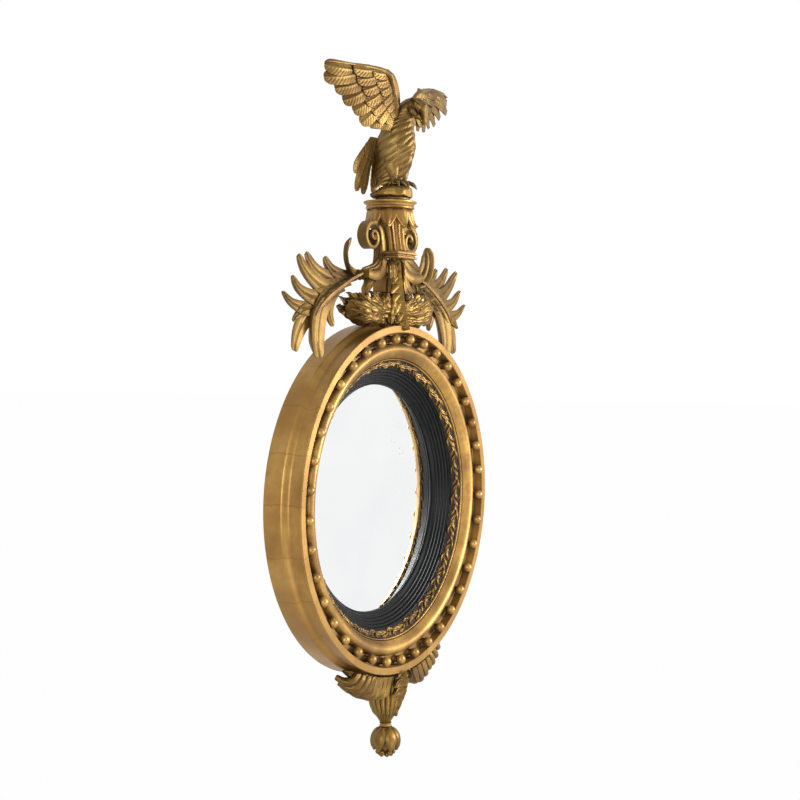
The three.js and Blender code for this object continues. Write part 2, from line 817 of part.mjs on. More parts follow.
/** Ribbed horn of curled leaf that lies on the drum beside the mound and opens at its end. */
function baseCurl() {
  const path = curve(
    [MOUND_HALF + CLEAR, -36, 12],
    [60, -36, 12],
    [84, -36, 15],
    [106, -38, 22],
    [122, -40, 31],
  );
  const rings = [];
  const steps = 6;
  for (let i = 0; i <= steps; i += 1) rings.push({ t: i / steps, scale: 1 });
  rings.push({ t: 1, scale: 0.78 }, { t: 0.86, scale: 0.55 });
  const outline = rings.map(({ t, scale }) => {
    const along = levelDirection(path, t);
    const flat = ellipse(
      between([21, 22, 21, 20, 21, 19], t) * scale,
      between([27, 26, 24, 22, 22, 19], t) * scale,
      12,
      0.1,
    );
    const point = path.getPoint(t);
    const up = new THREE.Vector3(-along.z, 0, along.x);
    return flat.map(([n, s]) => point.clone().addScaledVector(up, n).addScaledVector(AXIS_Y, s));
  });
  return cut(loft(outline), drumSpace());
}

/** Direction of a path with its lean along y left out. */
function levelDirection(path, t) {
  const along = path.getTangent(t);
  along.y = 0;
  return along.normalize();
}

/** Stem: a block with a narrower rib down its front. */
function crestStem() {
  const back = -STEM_BACK;
  const front = back - STEM_DEPTH;
  const ribFront = front - RIB_DEPTH;
  const outline = new THREE.Shape([
    new THREE.Vector2(-STEM_HALF, back),
    new THREE.Vector2(STEM_HALF, back),
    new THREE.Vector2(STEM_HALF, front),
    new THREE.Vector2(RIB_HALF, front - 1.5),
    new THREE.Vector2(RIB_HALF, ribFront),
    new THREE.Vector2(-RIB_HALF, ribFront),
    new THREE.Vector2(-RIB_HALF, front - 1.5),
    new THREE.Vector2(-STEM_HALF, front),
  ]);
  const height = COLLAR_BASE - CLEAR - MOUND_HEIGHT - CLEAR;
  const post = new THREE.ExtrudeGeometry(outline, { depth: height, bevelEnabled: false });
  return piece("crest_stem", post.translate(0, 0, MOUND_HEIGHT + CLEAR), giltCarved);
}

/** Moulded collar: two fillets with a groove between them. */
function collarBand() {
  const band = block(
    new THREE.Vector3(-COLLAR_HALF, -COLLAR_FRONT, COLLAR_BASE),
    new THREE.Vector3(COLLAR_HALF, -COLLAR_BACK, COLLAR_BASE + COLLAR_HEIGHT),
  );
  const groove = COLLAR_HEIGHT / 4;
  const middle = COLLAR_BASE + COLLAR_HEIGHT / 2;
  const inner = new THREE.Vector3(COLLAR_HALF - COLLAR_GROOVE, -COLLAR_FRONT + COLLAR_GROOVE, 0);
  const ring = cut(
    block(
      new THREE.Vector3(-COLLAR_HALF - 5, -COLLAR_FRONT - 5, middle - groove / 2),
      new THREE.Vector3(COLLAR_HALF + 5, -COLLAR_BACK + 5, middle + groove / 2),
    ),
    block(
      new THREE.Vector3(-inner.x, inner.y, middle - groove),
      new THREE.Vector3(inner.x, -COLLAR_BACK + 10, middle + groove),
    ),
  );
  return piece("collar_band", cut(band, ring), gilt);
}

/** Fluted neck that swells towards the cap. */
function crestNeck() {
  const base = COLLAR_BASE + COLLAR_HEIGHT + CLEAR;
  const top = CAP_BASE - CLEAR;
  const lean = (t) => -COLLAR_BACK - 4 + t * (COLLAR_BACK + 4 - CREST_AXIS);
  const path = curve([0, lean(0), base], [0, lean(0.4), base + (top - base) * 0.5], [0, lean(1), top]);
  const neck = sweep({
    path,
    across: AXIS_X,
    steps: 4,
    section: (t) => {
      const r = between([NECK_R, NECK_R * 0.95, NECK_R * 1.05, NECK_R * 1.4, NECK_R * 2.5], t);
      return ellipse(r, r, 2 * NECK_FLUTES, 0.12);
    },
  });
  return within(
    neck,
    new THREE.Vector3(-CAP_R, -caseDepth - 20, base),
    new THREE.Vector3(CAP_R, 0, top),
  );
}

/** Pointed leaves that hang round the top of the neck with their tips curled out. */
function lotusLeaves() {
  const top = CAP_BASE - CLEAR;
  const leaves = [];
  for (let i = 0; i < LOTUS_COUNT; i += 1) {
    const angle = ((i - (LOTUS_COUNT - 1) / 2) / LOTUS_COUNT) * 1.84 * Math.PI;
    const outward = new THREE.Vector3(Math.sin(angle), -Math.cos(angle), 0);
    const place = (r, z) => [outward.x * r, outward.y * r - CREST_AXIS, z];
    const reach = Math.min(1, 0.5 + 0.5 * Math.cos(angle) + 0.75);
    const path = curve(
      place(CAP_R * 0.76, top + 2),
      place(CAP_R * 0.88, top - LOTUS_DROP * 0.5),
      place(CAP_R * 0.93 * reach, top - LOTUS_DROP),
    );
    const across = new THREE.Vector3(Math.cos(angle), Math.sin(angle), 0);
    leaves.push(
      sweep({
        path,
        across,
        steps: 3,
        tip: true,
        section: (t) => {
          const half = between([14, 16.5, 14, 1], t);
          return [
            [-half, -1.5],
            [0, 2.4],
            [half, -1.5],
            [0, -2.4],
          ];
        },
      }),
    );
  }
  return leaves;
}

/** Neck and its leaves as one carved capital. */
function capital() {
  const whole = join(crestNeck(), ...lotusLeaves());
  const clipped = within(
    whole,
    new THREE.Vector3(-2 * CAP_R, -2 * caseDepth, 0),
    new THREE.Vector3(2 * CAP_R, -CLEAR, CAP_BASE - CLEAR),
  );
  return piece("leaf_capital", clipped, giltCarved);
}

/** Round moulded cap, cut flat at the back where it meets the wall. */
function cap() {
  const top = CAP_BASE + CAP_HEIGHT;
  const disc = turnedUpright(
    [
      [0, CAP_BASE],
      [CAP_R - 4.5, CAP_BASE],
      [CAP_R - 3.5, CAP_BASE + 2.4],
      [CAP_R - 0.8, CAP_BASE + 4.2],
      [CAP_R, CAP_BASE + 6.4],
      [CAP_R, top],
      [0, top],
    ],
    28,
  ).translate(0, -CREST_AXIS, 0);
  const clipped = within(
    disc,
    new THREE.Vector3(-2 * CAP_R, -2 * caseDepth, 0),
    new THREE.Vector3(2 * CAP_R, -CLEAR, top + 1),
  );
  return piece("cap_moulding", clipped, gilt);
}

function perch() {
  const discBase = CAP_BASE + CAP_HEIGHT + CLEAR;
  const rockBase = discBase + DISC_HEIGHT + CLEAR;
  const discShape = turnedUpright(
    [
      [0, discBase],
      [DISC_R, discBase],
      [DISC_R + 1.5, discBase + DISC_HEIGHT / 2],
      [DISC_R, discBase + DISC_HEIGHT],
      [0, discBase + DISC_HEIGHT],
    ],
    20,
  ).translate(0, -CREST_AXIS - 6, 0);
  const rockPath = curve([0, 0, 0], [0, 0, ROCK_HEIGHT / 2], [0, 2, ROCK_HEIGHT]);
  const rockShape = sweep({
    path: rockPath,
    across: AXIS_X,
    steps: 3,
    section: (t) => {
      const r = between([ROCK_R - 3, ROCK_R, ROCK_R - 4, ROCK_R - 14], t);
      return ellipse(r, r, 12, 0.08 * (1 + t));
    },
  });
  const flatRock = within(
    rockShape,
    new THREE.Vector3(-60, -60, 0),
    new THREE.Vector3(60, 60, ROCK_HEIGHT),
  ).translate(0, -CREST_AXIS - 3, rockBase);
  return [piece("eagle_plinth", discShape, gilt), piece("perch_rock", flatRock, giltCarved)];
}

/** Long notched leaf that hangs down the front of the stem and over the rim. */
function frontLeaf() {
  const ribFront = -STEM_BACK - STEM_DEPTH - RIB_DEPTH;
  const path = curve(
    [0, ribFront - 3.8, COLLAR_BASE - 1.5],
    [0, ribFront - 7, COLLAR_BASE - 26],
    [0, ribFront - 11, COLLAR_BASE - 60],
    [0, ribFront - 19, COLLAR_BASE - 98],
    [0, -caseDepth - 10, -11],
  );
  const leaf = sweep({
    path,
    across: AXIS_X,
    steps: 14,
    tip: true,
    section: (t) => {
      const notch = Math.round(t * 14) % 2 ? 1.16 : 0.86;
      return leafSection(between([7, 12, 17, 19, 17, 12, 4], t) * notch, 3.4, 1.6);
    },
  });
  return piece("front_leaf", leaf, giltCarved);
}

/** Small leaf that fills the corner between the stem's rib and the collar and thins downwards. */
function stemLeaf() {
  const back = -STEM_BACK - STEM_DEPTH - 1.5 - CLEAR;
  return loft(
    [
      { drop: CLEAR, wide: 7.5, deep: 12 },
      { drop: 10, wide: 9, deep: 12.5 },
      { drop: 24, wide: 8, deep: 9.5 },
      { drop: 36, wide: 5, deep: 6 },
      { drop: 47, wide: 2, deep: 2.5 },
    ].map(({ drop, wide, deep }) =>
      [
        [0, 0],
        [wide * 0.85, 0],
        [wide, -deep * 0.55],
        [wide * 0.55, -deep],
        [0, -deep * 0.8],
      ].map(([x, y]) => new THREE.Vector3(RIB_HALF + CLEAR + x, back + y, COLLAR_BASE - drop)),
    ),
  );
}

// ---------------------------------------------------------------- scrolls and sprays

/** Points of the right scroll's centre line: the spiral from its eye, then the S-shaped tail. */
function scrollPath() {
  const points = [];
  const spiralSteps = 15;
  for (let i = 0; i < spiralSteps; i += 1) {
    const share = i / (spiralSteps - 1);
    const angle = Math.PI - SCROLL_TURNS * 2 * Math.PI * (1 - share);
    const r = THREE.MathUtils.lerp(4, SCROLL_R + 7, share ** 2);
    points.push([SCROLL_X + r * Math.cos(angle), 0, SCROLL_Z + r * Math.sin(angle)]);
  }
  points.push([26.5, 0, SCROLL_Z - 20], [27.5, 0, SCROLL_Z - 38], [35, 0, SCROLL_Z - 54]);
  points.push([50, 0, SCROLL_Z - 63], [68, 0, SCROLL_Z - 65], [SCROLL_END.x, 0, SCROLL_END.z]);
  return curve(...points);
}

/** Ribbon scroll: a thick band rolled into a volute, whose tail flares towards the front. */
function scroll() {
  const front = -SCROLL_FRONT;
  const back = front + SCROLL_DEPTH;
  return sweep({
    path: scrollPath(),
    across: AXIS_Y,
    steps: 24,
    section: (t) => {
      const half = between([3, 2.4, 2.6, 2.8, 3, 3.4, 4.6, 6, 7, 7], t);
      const flare = between([3, 0, 0, 0, 0, 0, 0, 0, 0, 0, 0, 0, 5, 8], t);
      return [
        [front - flare, -half],
        [front - flare, half],
        [back, half],
        [back, -half],
      ];
    },
  });
}

/** Ribbed leaf that drops from the underside of the scroll's tail. */
function dropLeaf() {
  return leaflet(
    [
      [SCROLL_END.x - 34, SCROLL_END.y - 6, SCROLL_END.z + 2],
      [SCROLL_END.x - 16, SCROLL_END.y - 8, SCROLL_END.z - 14],
      [SCROLL_END.x + 2, SCROLL_END.y - 6, SCROLL_END.z - 44],
    ],
    [16, 20, 4],
    18,
  );
}

function scrollPiece() {
  const ribbon = within(
    scroll(),
    new THREE.Vector3(0, -2 * caseDepth, -caseR),
    new THREE.Vector3(SCROLL_END.x, 0, caseR),
  );
  return join(ribbon, dropLeaf());
}

/** Palm spray: a curved stalk with fingers above and below it. Origin: its root on the scroll's end. */
function sprayShape() {
  const stalk = sweep({
    path: curve([0, 0, 0], [50, 2, -20], [92, 5, -40], [122, 9, -56]),
    across: AXIS_Y,
    steps: 5,
    section: (t) => ellipse(8, between([8, 9, 9, 8, 8, 5], t), 6),
  });
  const fingers = [
    leaflet([[22, 2, -6], [62, 5, -2], [90, 10, 20]], [12, 17, 9], 14),
    leaflet([[46, 3, -16], [100, 9, -2], [134, 15, 25]], [16, 20, 10], 14),
    leaflet([[66, 2.5, -27], [124, 6, -14], [161, 10, 19]], [14, 20, 9], 14),
    leaflet([[88, 4.5, -39], [140, 7, -35], [176, 11, -14]], [14, 18, 7], 12),
    leaflet([[106, 6.5, -49], [156, 10, -55], [198, 14, -39]], [14, 18, 6], 12),
    leaflet([[108, 6, -50], [148, 11, -64], [171, 13, -81]], [11, 18, 5], 11),
    leaflet([[105, 7, -47], [150, 13, -88], [164, 17, -127]], [16, 27, 20], 12),
    leaflet([[94, 5, -42], [116, 2, -88], [114, 1, -138]], [16, 28, 19], 15),
    leaflet([[66, 4, -26], [76, 7, -58], [64, 10, -88]], [12, 19, 12], 12),
  ];
  const tendril = leaflet([[4, 0, 0], [26, 0, 10], [41, -2, 30], [31, -3, 55]], [12, 16, 13, 3], 14);
  return join(stalk, tendril, ...fingers);
}

/** The spray at its place beside the scroll, clear of the drum. */
function spray() {
  const scale = SPRAY_REACH / SPRAY_DRAWN;
  const root = SCROLL_END.x + CLEAR;
  const placed = sprayShape().scale(scale, scale, scale).translate(root, SCROLL_END.y, SCROLL_END.z);
  return within(
    cut(placed, drumSpace()),
    new THREE.Vector3(root, -2 * caseDepth, -caseR),
    new THREE.Vector3(caseR, 0, caseR),
  );
}

// ---------------------------------------------------------------- eagle

/** Body, neck, head and hooked beak in one sweep. Origin: top of the rock. */
function eagleTrunk(grow = 0) {
  const stations = [
    { y: 8, z: 2, wide: 14, deep: 12 },
    { y: 5, z: 18, wide: 24, deep: 26 },
    { y: -2, z: 44, wide: 30, deep: 35 },
    { y: -8, z: 70, wide: 31, deep: 36 },
    { y: -13, z: 95, wide: 29, deep: 29 },
    { y: -21, z: 116, wide: 21, deep: 20 },
    { y: -31, z: 130, wide: 16, deep: 14 },
    { y: -42, z: 134, wide: 15, deep: 12 },
    { y: -52, z: 129, wide: 12.5, deep: 11.5 },
    { y: -58, z: 120, wide: 7, deep: 8 },
    { y: -62, z: 110, wide: 4, deep: 5 },
    { y: -61, z: 99, wide: 1, deep: 1 },
  ];
  const last = stations.length - 1;
  return sweep({
    path: curve(...stations.map(({ y, z }) => [0, y, z])),
    across: AXIS_X,
    steps: last,
    tip: true,
    section: (t) => {
      const { wide, deep } = stations[Math.round(t * last)];
      return ellipse(wide + grow, deep + grow, 10);
    },
  });
}

function eagleLeg() {
  const thigh = sweep({
    path: curve([12, 0, 40], [15, -8, 20], [15, -11, 3]),
    across: AXIS_X,
    steps: 3,
    section: (t) => ellipse(between([15, 12, 6, 4.5], t), between([18, 13, 7, 5], t), 6),
  });
  const claws = [-0.5, 0, 0.5].map((turn) => {
    const reach = (far) => [15 + far * Math.sin(turn), -9 - far * Math.cos(turn)];
    return sweep({
      path: curve([...reach(0), 4], [...reach(10), 6], [...reach(18), 1]),
      across: AXIS_X,
      steps: 2,
      tip: true,
      section: (t) => ellipse(between([4, 3, 1], t), between([4, 3, 1], t), 4),
    });
  });
  return join(thigh, ...claws);
}

/**
 * A fan of feathers in one skin: stations run from feather edge to feather middle and on to the next edge.
 * lead(u) and trail(u) are the two rims; at a feather's edge the skin is thinner and falls short of its tip.
 */
function featherFan({ count, lead, trail, thickness, notch }) {
  const rings = [];
  for (let i = 0; i <= 2 * count; i += 1) {
    const u = i / (2 * count);
    const edge = i % 2 === 0;
    const root = lead(u);
    const tip = root.clone().lerp(trail(u), edge ? 1 - notch : 1);
    const half = (thickness / 2) * (edge ? 0.45 : 1);
    const place = (share, y) => root.clone().lerp(tip, share).add(new THREE.Vector3(0, y, 0));
    rings.push([
      place(0, -half),
      place(0.35, -half - thickness * 0.3),
      place(0.6, -half),
      place(1, 0),
      place(0.6, half),
      place(0, half),
    ]);
  }
  return loft(rings);
}

/** Right wing, raised and swept back, with its long feathers spread and a round leading edge. */
function wing() {
  const rim = curve(
    [166, 14, 184],
    [124, 3, 183],
    [78, -12, 181],
    [42, -21, 174],
    [30, -21, 145],
    [24, -15, 112],
  );
  const tips = curve(
    [181, 17, 180],
    [175, 16, 155],
    [153, 13, 139],
    [131, 9, 125],
    [111, 5, 110],
    [91, 1, 94],
    [66, -3, 87],
    [28, -10, 92],
  );
  const feathers = featherFan({
    count: 8,
    lead: (u) => rim.getPoint(u),
    trail: (u) => tips.getPoint(u),
    thickness: 8,
    notch: 0.14,
  });
  const edge = sweep({
    path: curve(
      [18, -12, 112],
      [29, -21, 146],
      [42, -21, 174],
      [78, -12, 181],
      [126, 3, 183],
      [174, 15, 184],
    ),
    across: AXIS_Y,
    steps: 6,
    section: (t) => ellipse(between([8, 8, 7, 5, 4], t), between([12, 12, 11, 8, 4], t), 6),
  });
  return join(edge, feathers);
}

/** Fan of tail feathers behind the bird. */
function eagleTail() {
  const tips = curve(
    [64, 41, 34],
    [60, 41, 8],
    [46, 41, -8],
    [20, 41, -13],
    [0, 41, -14],
    [-20, 41, -13],
    [-46, 41, -8],
    [-60, 41, 8],
    [-64, 41, 34],
  );
  return featherFan({
    count: 7,
    lead: (u) => new THREE.Vector3(12 - 24 * u, 31, 84),
    trail: (u) => tips.getPoint(u),
    thickness: 6,
    notch: 0.12,
  });
}

/** The bird without its wings and tail: trunk and legs. */
function eagleBody() {
  return join(eagleTrunk(), eagleLeg(), mirrored(eagleLeg()));
}

function eagle() {
  const base = CAP_BASE + CAP_HEIGHT + DISC_HEIGHT + ROCK_HEIGHT + 3 * CLEAR;
  const group = new THREE.Group();
  const back = -CREST_AXIS - 3;
  group.position.set(0, back, base);
  group.scale.setScalar(EAGLE_HEIGHT / EAGLE_DRAWN);
  const bodySpace = eagleTrunk(1.5 * CLEAR);
  group.add(piece("eagle_body", eagleBody(), giltCarved));
  group.add(piece("wing_right", cut(wing(), bodySpace), giltCarved));
  group.add(piece("wing_left", cut(mirrored(wing()), bodySpace), giltCarved));
  group.add(piece("eagle_tail", cut(eagleTail(), bodySpace), giltCarved));
  return group;
}

function crest() {
  const group = new THREE.Group();
  group.position.z = caseR;
  group.add(...crestStrap(), crestMound(), crestStem(), collarBand());
  group.add(capital(), cap(), ...perch(), frontLeaf(), eagle());
  group.add(...pairOf("base_curl", baseCurl()), ...pairOf("stem_leaf", stemLeaf()));
  group.add(...pairOf("scroll", scrollPiece()), ...pairOf("spray", spray()));
  return group;
}

// ---------------------------------------------------------------- apron

/** Ribbed leaf that spreads along the underside of the drum from the calyx. */
function apronLeaf() {
  const steps = 14;
  const start = 0.055;
  const end = 0.56;
  const rings = [];
  for (let i = 0; i <= steps; i += 1) {
    const t = i / steps;
    const angle = THREE.MathUtils.lerp(start, end, t);
    const rib = i % 2 ? 1 : 0.8;
    const drop = between([34, 33, 31, 30, 28, 23, 16, 12], t) * rib;
    const front = between([24, 25, 25, 24, 22, 19, 15, 12], t) * rib;
    const outward = new THREE.Vector3(Math.sin(angle), 0, -Math.cos(angle));
    const middle = new THREE.Vector3(0, -APRON_AXIS + 3, caseR).addScaledVector(outward, caseR - 6);
    const point = (r, y) => middle.clone().addScaledVector(outward, r).add(new THREE.Vector3(0, y, 0));
    rings.push([
      point(0, front),
      point(0, -front),
      point(drop * 0.55, -front * 1.05),
      point(drop, -front * 0.45),
      point(drop, front * 0.6),
      point(drop * 0.5, front),
    ]);
  }
  return rings;
}

/** Hanging cup of leaf ribs under the drum. */
function apronCalyx() {
  const neckZ = -CALYX_DROP;
  const path = curve([0, -APRON_AXIS, 10], [0, -APRON_AXIS, neckZ]);
  return sweep({
    path,
    across: AXIS_X,
    steps: 6,
    section: (t) => {
      const r = between([CALYX_TOP_R, 35, 33, 30, 26, 18, FINIAL_NECK_R + 1], t);
      return ellipse(r, Math.min(r, 29), 16, 0.09);
    },
  });
}

function apronFrontLeaf() {
  const path = curve(
    [0, -caseDepth - 6, 9],
    [0, -caseDepth - 11, -6],
    [0, -caseDepth - 6, -30],
    [0, -APRON_AXIS - 27, -52],
    [0, -APRON_AXIS - 17, -72],
  );
  return sweep({
    path,
    across: AXIS_X,
    steps: 10,
    tip: true,
    section: (t) => {
      const notch = Math.round(t * 10) % 2 ? 1.15 : 0.88;
      return leafSection(between([12, 19, 22, 20, 15, 6], t) * notch, 6, 2.2);
    },
  });
}

/** Bud of petals that close round a cluster of seeds. */
function finialBud() {
  const around = 4 * PETAL_COUNT;
  const levels = [
    [0, 0.34, 0],
    [7, 0.6, 0.1],
    [17, 0.93, 0.12],
    [28, 1, 0.16],
    [38, 0.88, 0.24],
    [44, 0.66, 0.3],
    [46, 0.3, 0],
  ];
  const rings = levels.map(([drop, share, crease]) =>
    Array.from({ length: around }, (_, i) => {
      const angle = (i / around) * 2 * Math.PI;
      const r = BUD_R * share * (1 - [0, crease * 0.3, crease, crease * 0.3][i % 4]);
      return new THREE.Vector3(r * Math.sin(angle), -r * Math.cos(angle), (-drop * BUD_HEIGHT) / 52);
    }),
  );
  const seeds = Array.from({ length: 6 }, (_, i) => {
    const ring = i < 5 ? 9.5 : 0;
    const angle = (i / 5) * 2 * Math.PI;
    const depth = BUD_HEIGHT - (i < 5 ? 7 : 6);
    const seed = new THREE.OctahedronGeometry(6, 0);
    return seed.translate(ring * Math.sin(angle), ring * Math.cos(angle), -depth);
  });
  return join(loft(rings), ...seeds);
}

function apron() {
  const group = new THREE.Group();
  group.position.z = -caseR;
  const above = drumSpace().translate(0, 0, 2 * caseR);
  const calyx = cut(apronCalyx(), above);
  const leafRight = within(
    cut(loft(apronLeaf()), above, calyxSpace()),
    new THREE.Vector3(0, -2 * caseDepth, -caseR),
    new THREE.Vector3(caseR, -CLEAR, caseR),
  );
  const neckTop = -CALYX_DROP - CLEAR;
  const neckBase = neckTop - FINIAL_NECK_HEIGHT;
  const neck = turnedUpright(
    [
      [0, neckBase],
      [FINIAL_NECK_R + 1.5, neckBase],
      [FINIAL_NECK_R, (neckBase + neckTop) / 2],
      [FINIAL_NECK_R + 1.5, neckTop],
      [0, neckTop],
    ],
    12,
  ).translate(0, -APRON_AXIS, 0);
  const bud = finialBud().translate(0, -APRON_AXIS, neckBase - CLEAR);
  group.add(piece("apron_calyx", calyx, giltCarved));
  group.add(...pairOf("apron_leaf", leafRight));
  group.add(piece("apron_front_leaf", cut(apronFrontLeaf(), above, calyxSpace()), giltCarved));
  group.add(piece("finial_neck", neck, gilt), piece("finial_bud", bud, giltCarved));
  return group;
}

/** The calyx grown by the gap that the leaves beside it keep. */
function calyxSpace() {
  const grown = apronCalyx();
  grown.translate(0, APRON_AXIS, 0).scale(1.02, 1.02, 1).translate(0, -APRON_AXIS, 0);
  return grown;
}

// ---------------------------------------------------------------- the whole mirror

const girandole = new THREE.Group();
girandole.name = "convex_mirror";
girandole.add(outerCase(), ballChannel(), innerMoulding(), foliateBand(), ebonisedSlip());
girandole.add(mirrorPlate(), backboard(), ...backFittings(), ...hangers());
girandole.add(crest(), apron());

export default girandole;
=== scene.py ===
"""A round convex wall mirror in a carved and gilded frame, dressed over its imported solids.

Sizes are in millimetres and are turned to metres where a mesh is made. The wall is the plane
y = 0, the mirror faces -Y, and the origin is the centre of the round case on the wall.
"""

import logging
import math
from dataclasses import dataclass
from enum import Enum
from typing import Callable, Iterable, Sequence

import bmesh
import bpy
from mathutils import Matrix, Vector, noise


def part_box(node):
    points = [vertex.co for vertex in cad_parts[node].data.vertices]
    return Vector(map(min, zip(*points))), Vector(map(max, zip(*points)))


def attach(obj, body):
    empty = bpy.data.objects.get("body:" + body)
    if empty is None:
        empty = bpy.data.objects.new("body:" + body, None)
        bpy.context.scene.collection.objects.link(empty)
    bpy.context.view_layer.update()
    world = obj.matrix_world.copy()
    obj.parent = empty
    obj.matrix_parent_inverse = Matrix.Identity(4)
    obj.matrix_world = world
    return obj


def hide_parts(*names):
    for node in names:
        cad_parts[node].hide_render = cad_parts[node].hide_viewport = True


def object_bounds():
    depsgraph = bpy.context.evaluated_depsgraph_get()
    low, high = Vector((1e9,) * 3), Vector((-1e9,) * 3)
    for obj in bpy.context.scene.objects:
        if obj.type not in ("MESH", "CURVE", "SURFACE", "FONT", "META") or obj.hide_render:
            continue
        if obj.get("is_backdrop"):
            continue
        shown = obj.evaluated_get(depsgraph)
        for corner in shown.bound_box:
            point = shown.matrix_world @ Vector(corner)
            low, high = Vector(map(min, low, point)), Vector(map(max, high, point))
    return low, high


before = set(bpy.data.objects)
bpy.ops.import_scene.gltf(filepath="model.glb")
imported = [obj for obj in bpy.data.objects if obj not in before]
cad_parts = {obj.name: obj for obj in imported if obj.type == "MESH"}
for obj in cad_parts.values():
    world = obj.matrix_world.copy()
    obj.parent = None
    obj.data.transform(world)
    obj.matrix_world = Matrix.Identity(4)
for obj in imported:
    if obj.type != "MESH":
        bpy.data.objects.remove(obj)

log = logging.getLogger("mirror")

MM = 0.001
SEED = 7
"""Start of the smooth noise that roughens carving, so that every run carves the same."""
FRAME_BODY = "mirror_frame"
ON_AXIS = 0.01
"""Radius in millimetres of a turned outline's points that stand on its axis."""
DRUM_FRONT = -71.5
"""Carving that lies in front of this y hangs free of the drum."""
SHARP = 38.0
"""Edges of carving that bend more than this many degrees stay sharp."""

Point = tuple[float, float, float]
Colour = tuple[float, float, float, float]
Output = bpy.types.NodeSocket


class Side(Enum):
    """Which side of the plane x = 0 a carved piece belongs to."""

    RIGHT = 1
    LEFT = -1

    @property
    def word(self) -> str:
        """Gives the side's word in the names of pieces and nodes."""
        return self.name.lower()


# ------------------------------------------------------------------ numbers and curves


def between(values: Sequence[float], t: float) -> float:
    """Reads a value between evenly spread numbers.

    Args:
        values: Numbers at even steps from t = 0 to t = 1.
        t: Place between 0 and 1.

    Returns:
        The value there, in a straight line between its neighbours.
    """
    place = min(max(t, 0.0), 1.0) * (len(values) - 1)
    low = min(int(place), len(values) - 2)
    return values[low] + (values[low + 1] - values[low]) * (place - low)


def along(points: Sequence[Point], t: float) -> Vector:
    """Reads a point on the smooth curve through the given points.

    Args:
        points: Points that the curve goes through, evenly spread over t.
        t: Place between 0 and 1.

    Returns:
        The point there.
    """
    place = min(max(t, 0.0), 1.0) * (len(points) - 1)
    i = min(int(place), len(points) - 2)
    f = place - i
    b, c = Vector(points[i]), Vector(points[i + 1])
    a = Vector(points[i - 1]) if i > 0 else 2 * b - c
    d = Vector(points[i + 2]) if i + 2 < len(points) else 2 * c - b
    return 0.5 * (
        2 * b + (c - a) * f + (2 * a - 5 * b + 4 * c - d) * f**2 + (3 * b - a - 3 * c + d) * f**3
    )


def heading(points: Sequence[Point], t: float) -> Vector:
    """Reads the direction of the curve through the given points.

    Args:
        points: Points that the curve goes through.
        t: Place between 0 and 1.

    Returns:
        A unit vector along the curve.
    """
    step = 0.004
    return (along(points, min(t + step, 1.0)) - along(points, max(t - step, 0.0))).normalized()


def turned_point(r: float, y: float, angle: float) -> Vector:
    """Gives a point round the mirror's axis, with angle 0 at the top and positive to the right."""
    return Vector((r * math.sin(angle), y, r * math.cos(angle)))


def bump_at(x: float, middle: float, width: float) -> float:
    """Gives a smooth hill of height 1 at the middle that ends a width away from it."""
    d = abs(x - middle) / width
    return 0.0 if d >= 1 else 0.5 + 0.5 * math.cos(math.pi * d)


# ------------------------------------------------------------------ carving meshes


# ------------------------------------------------------------------ carving meshes


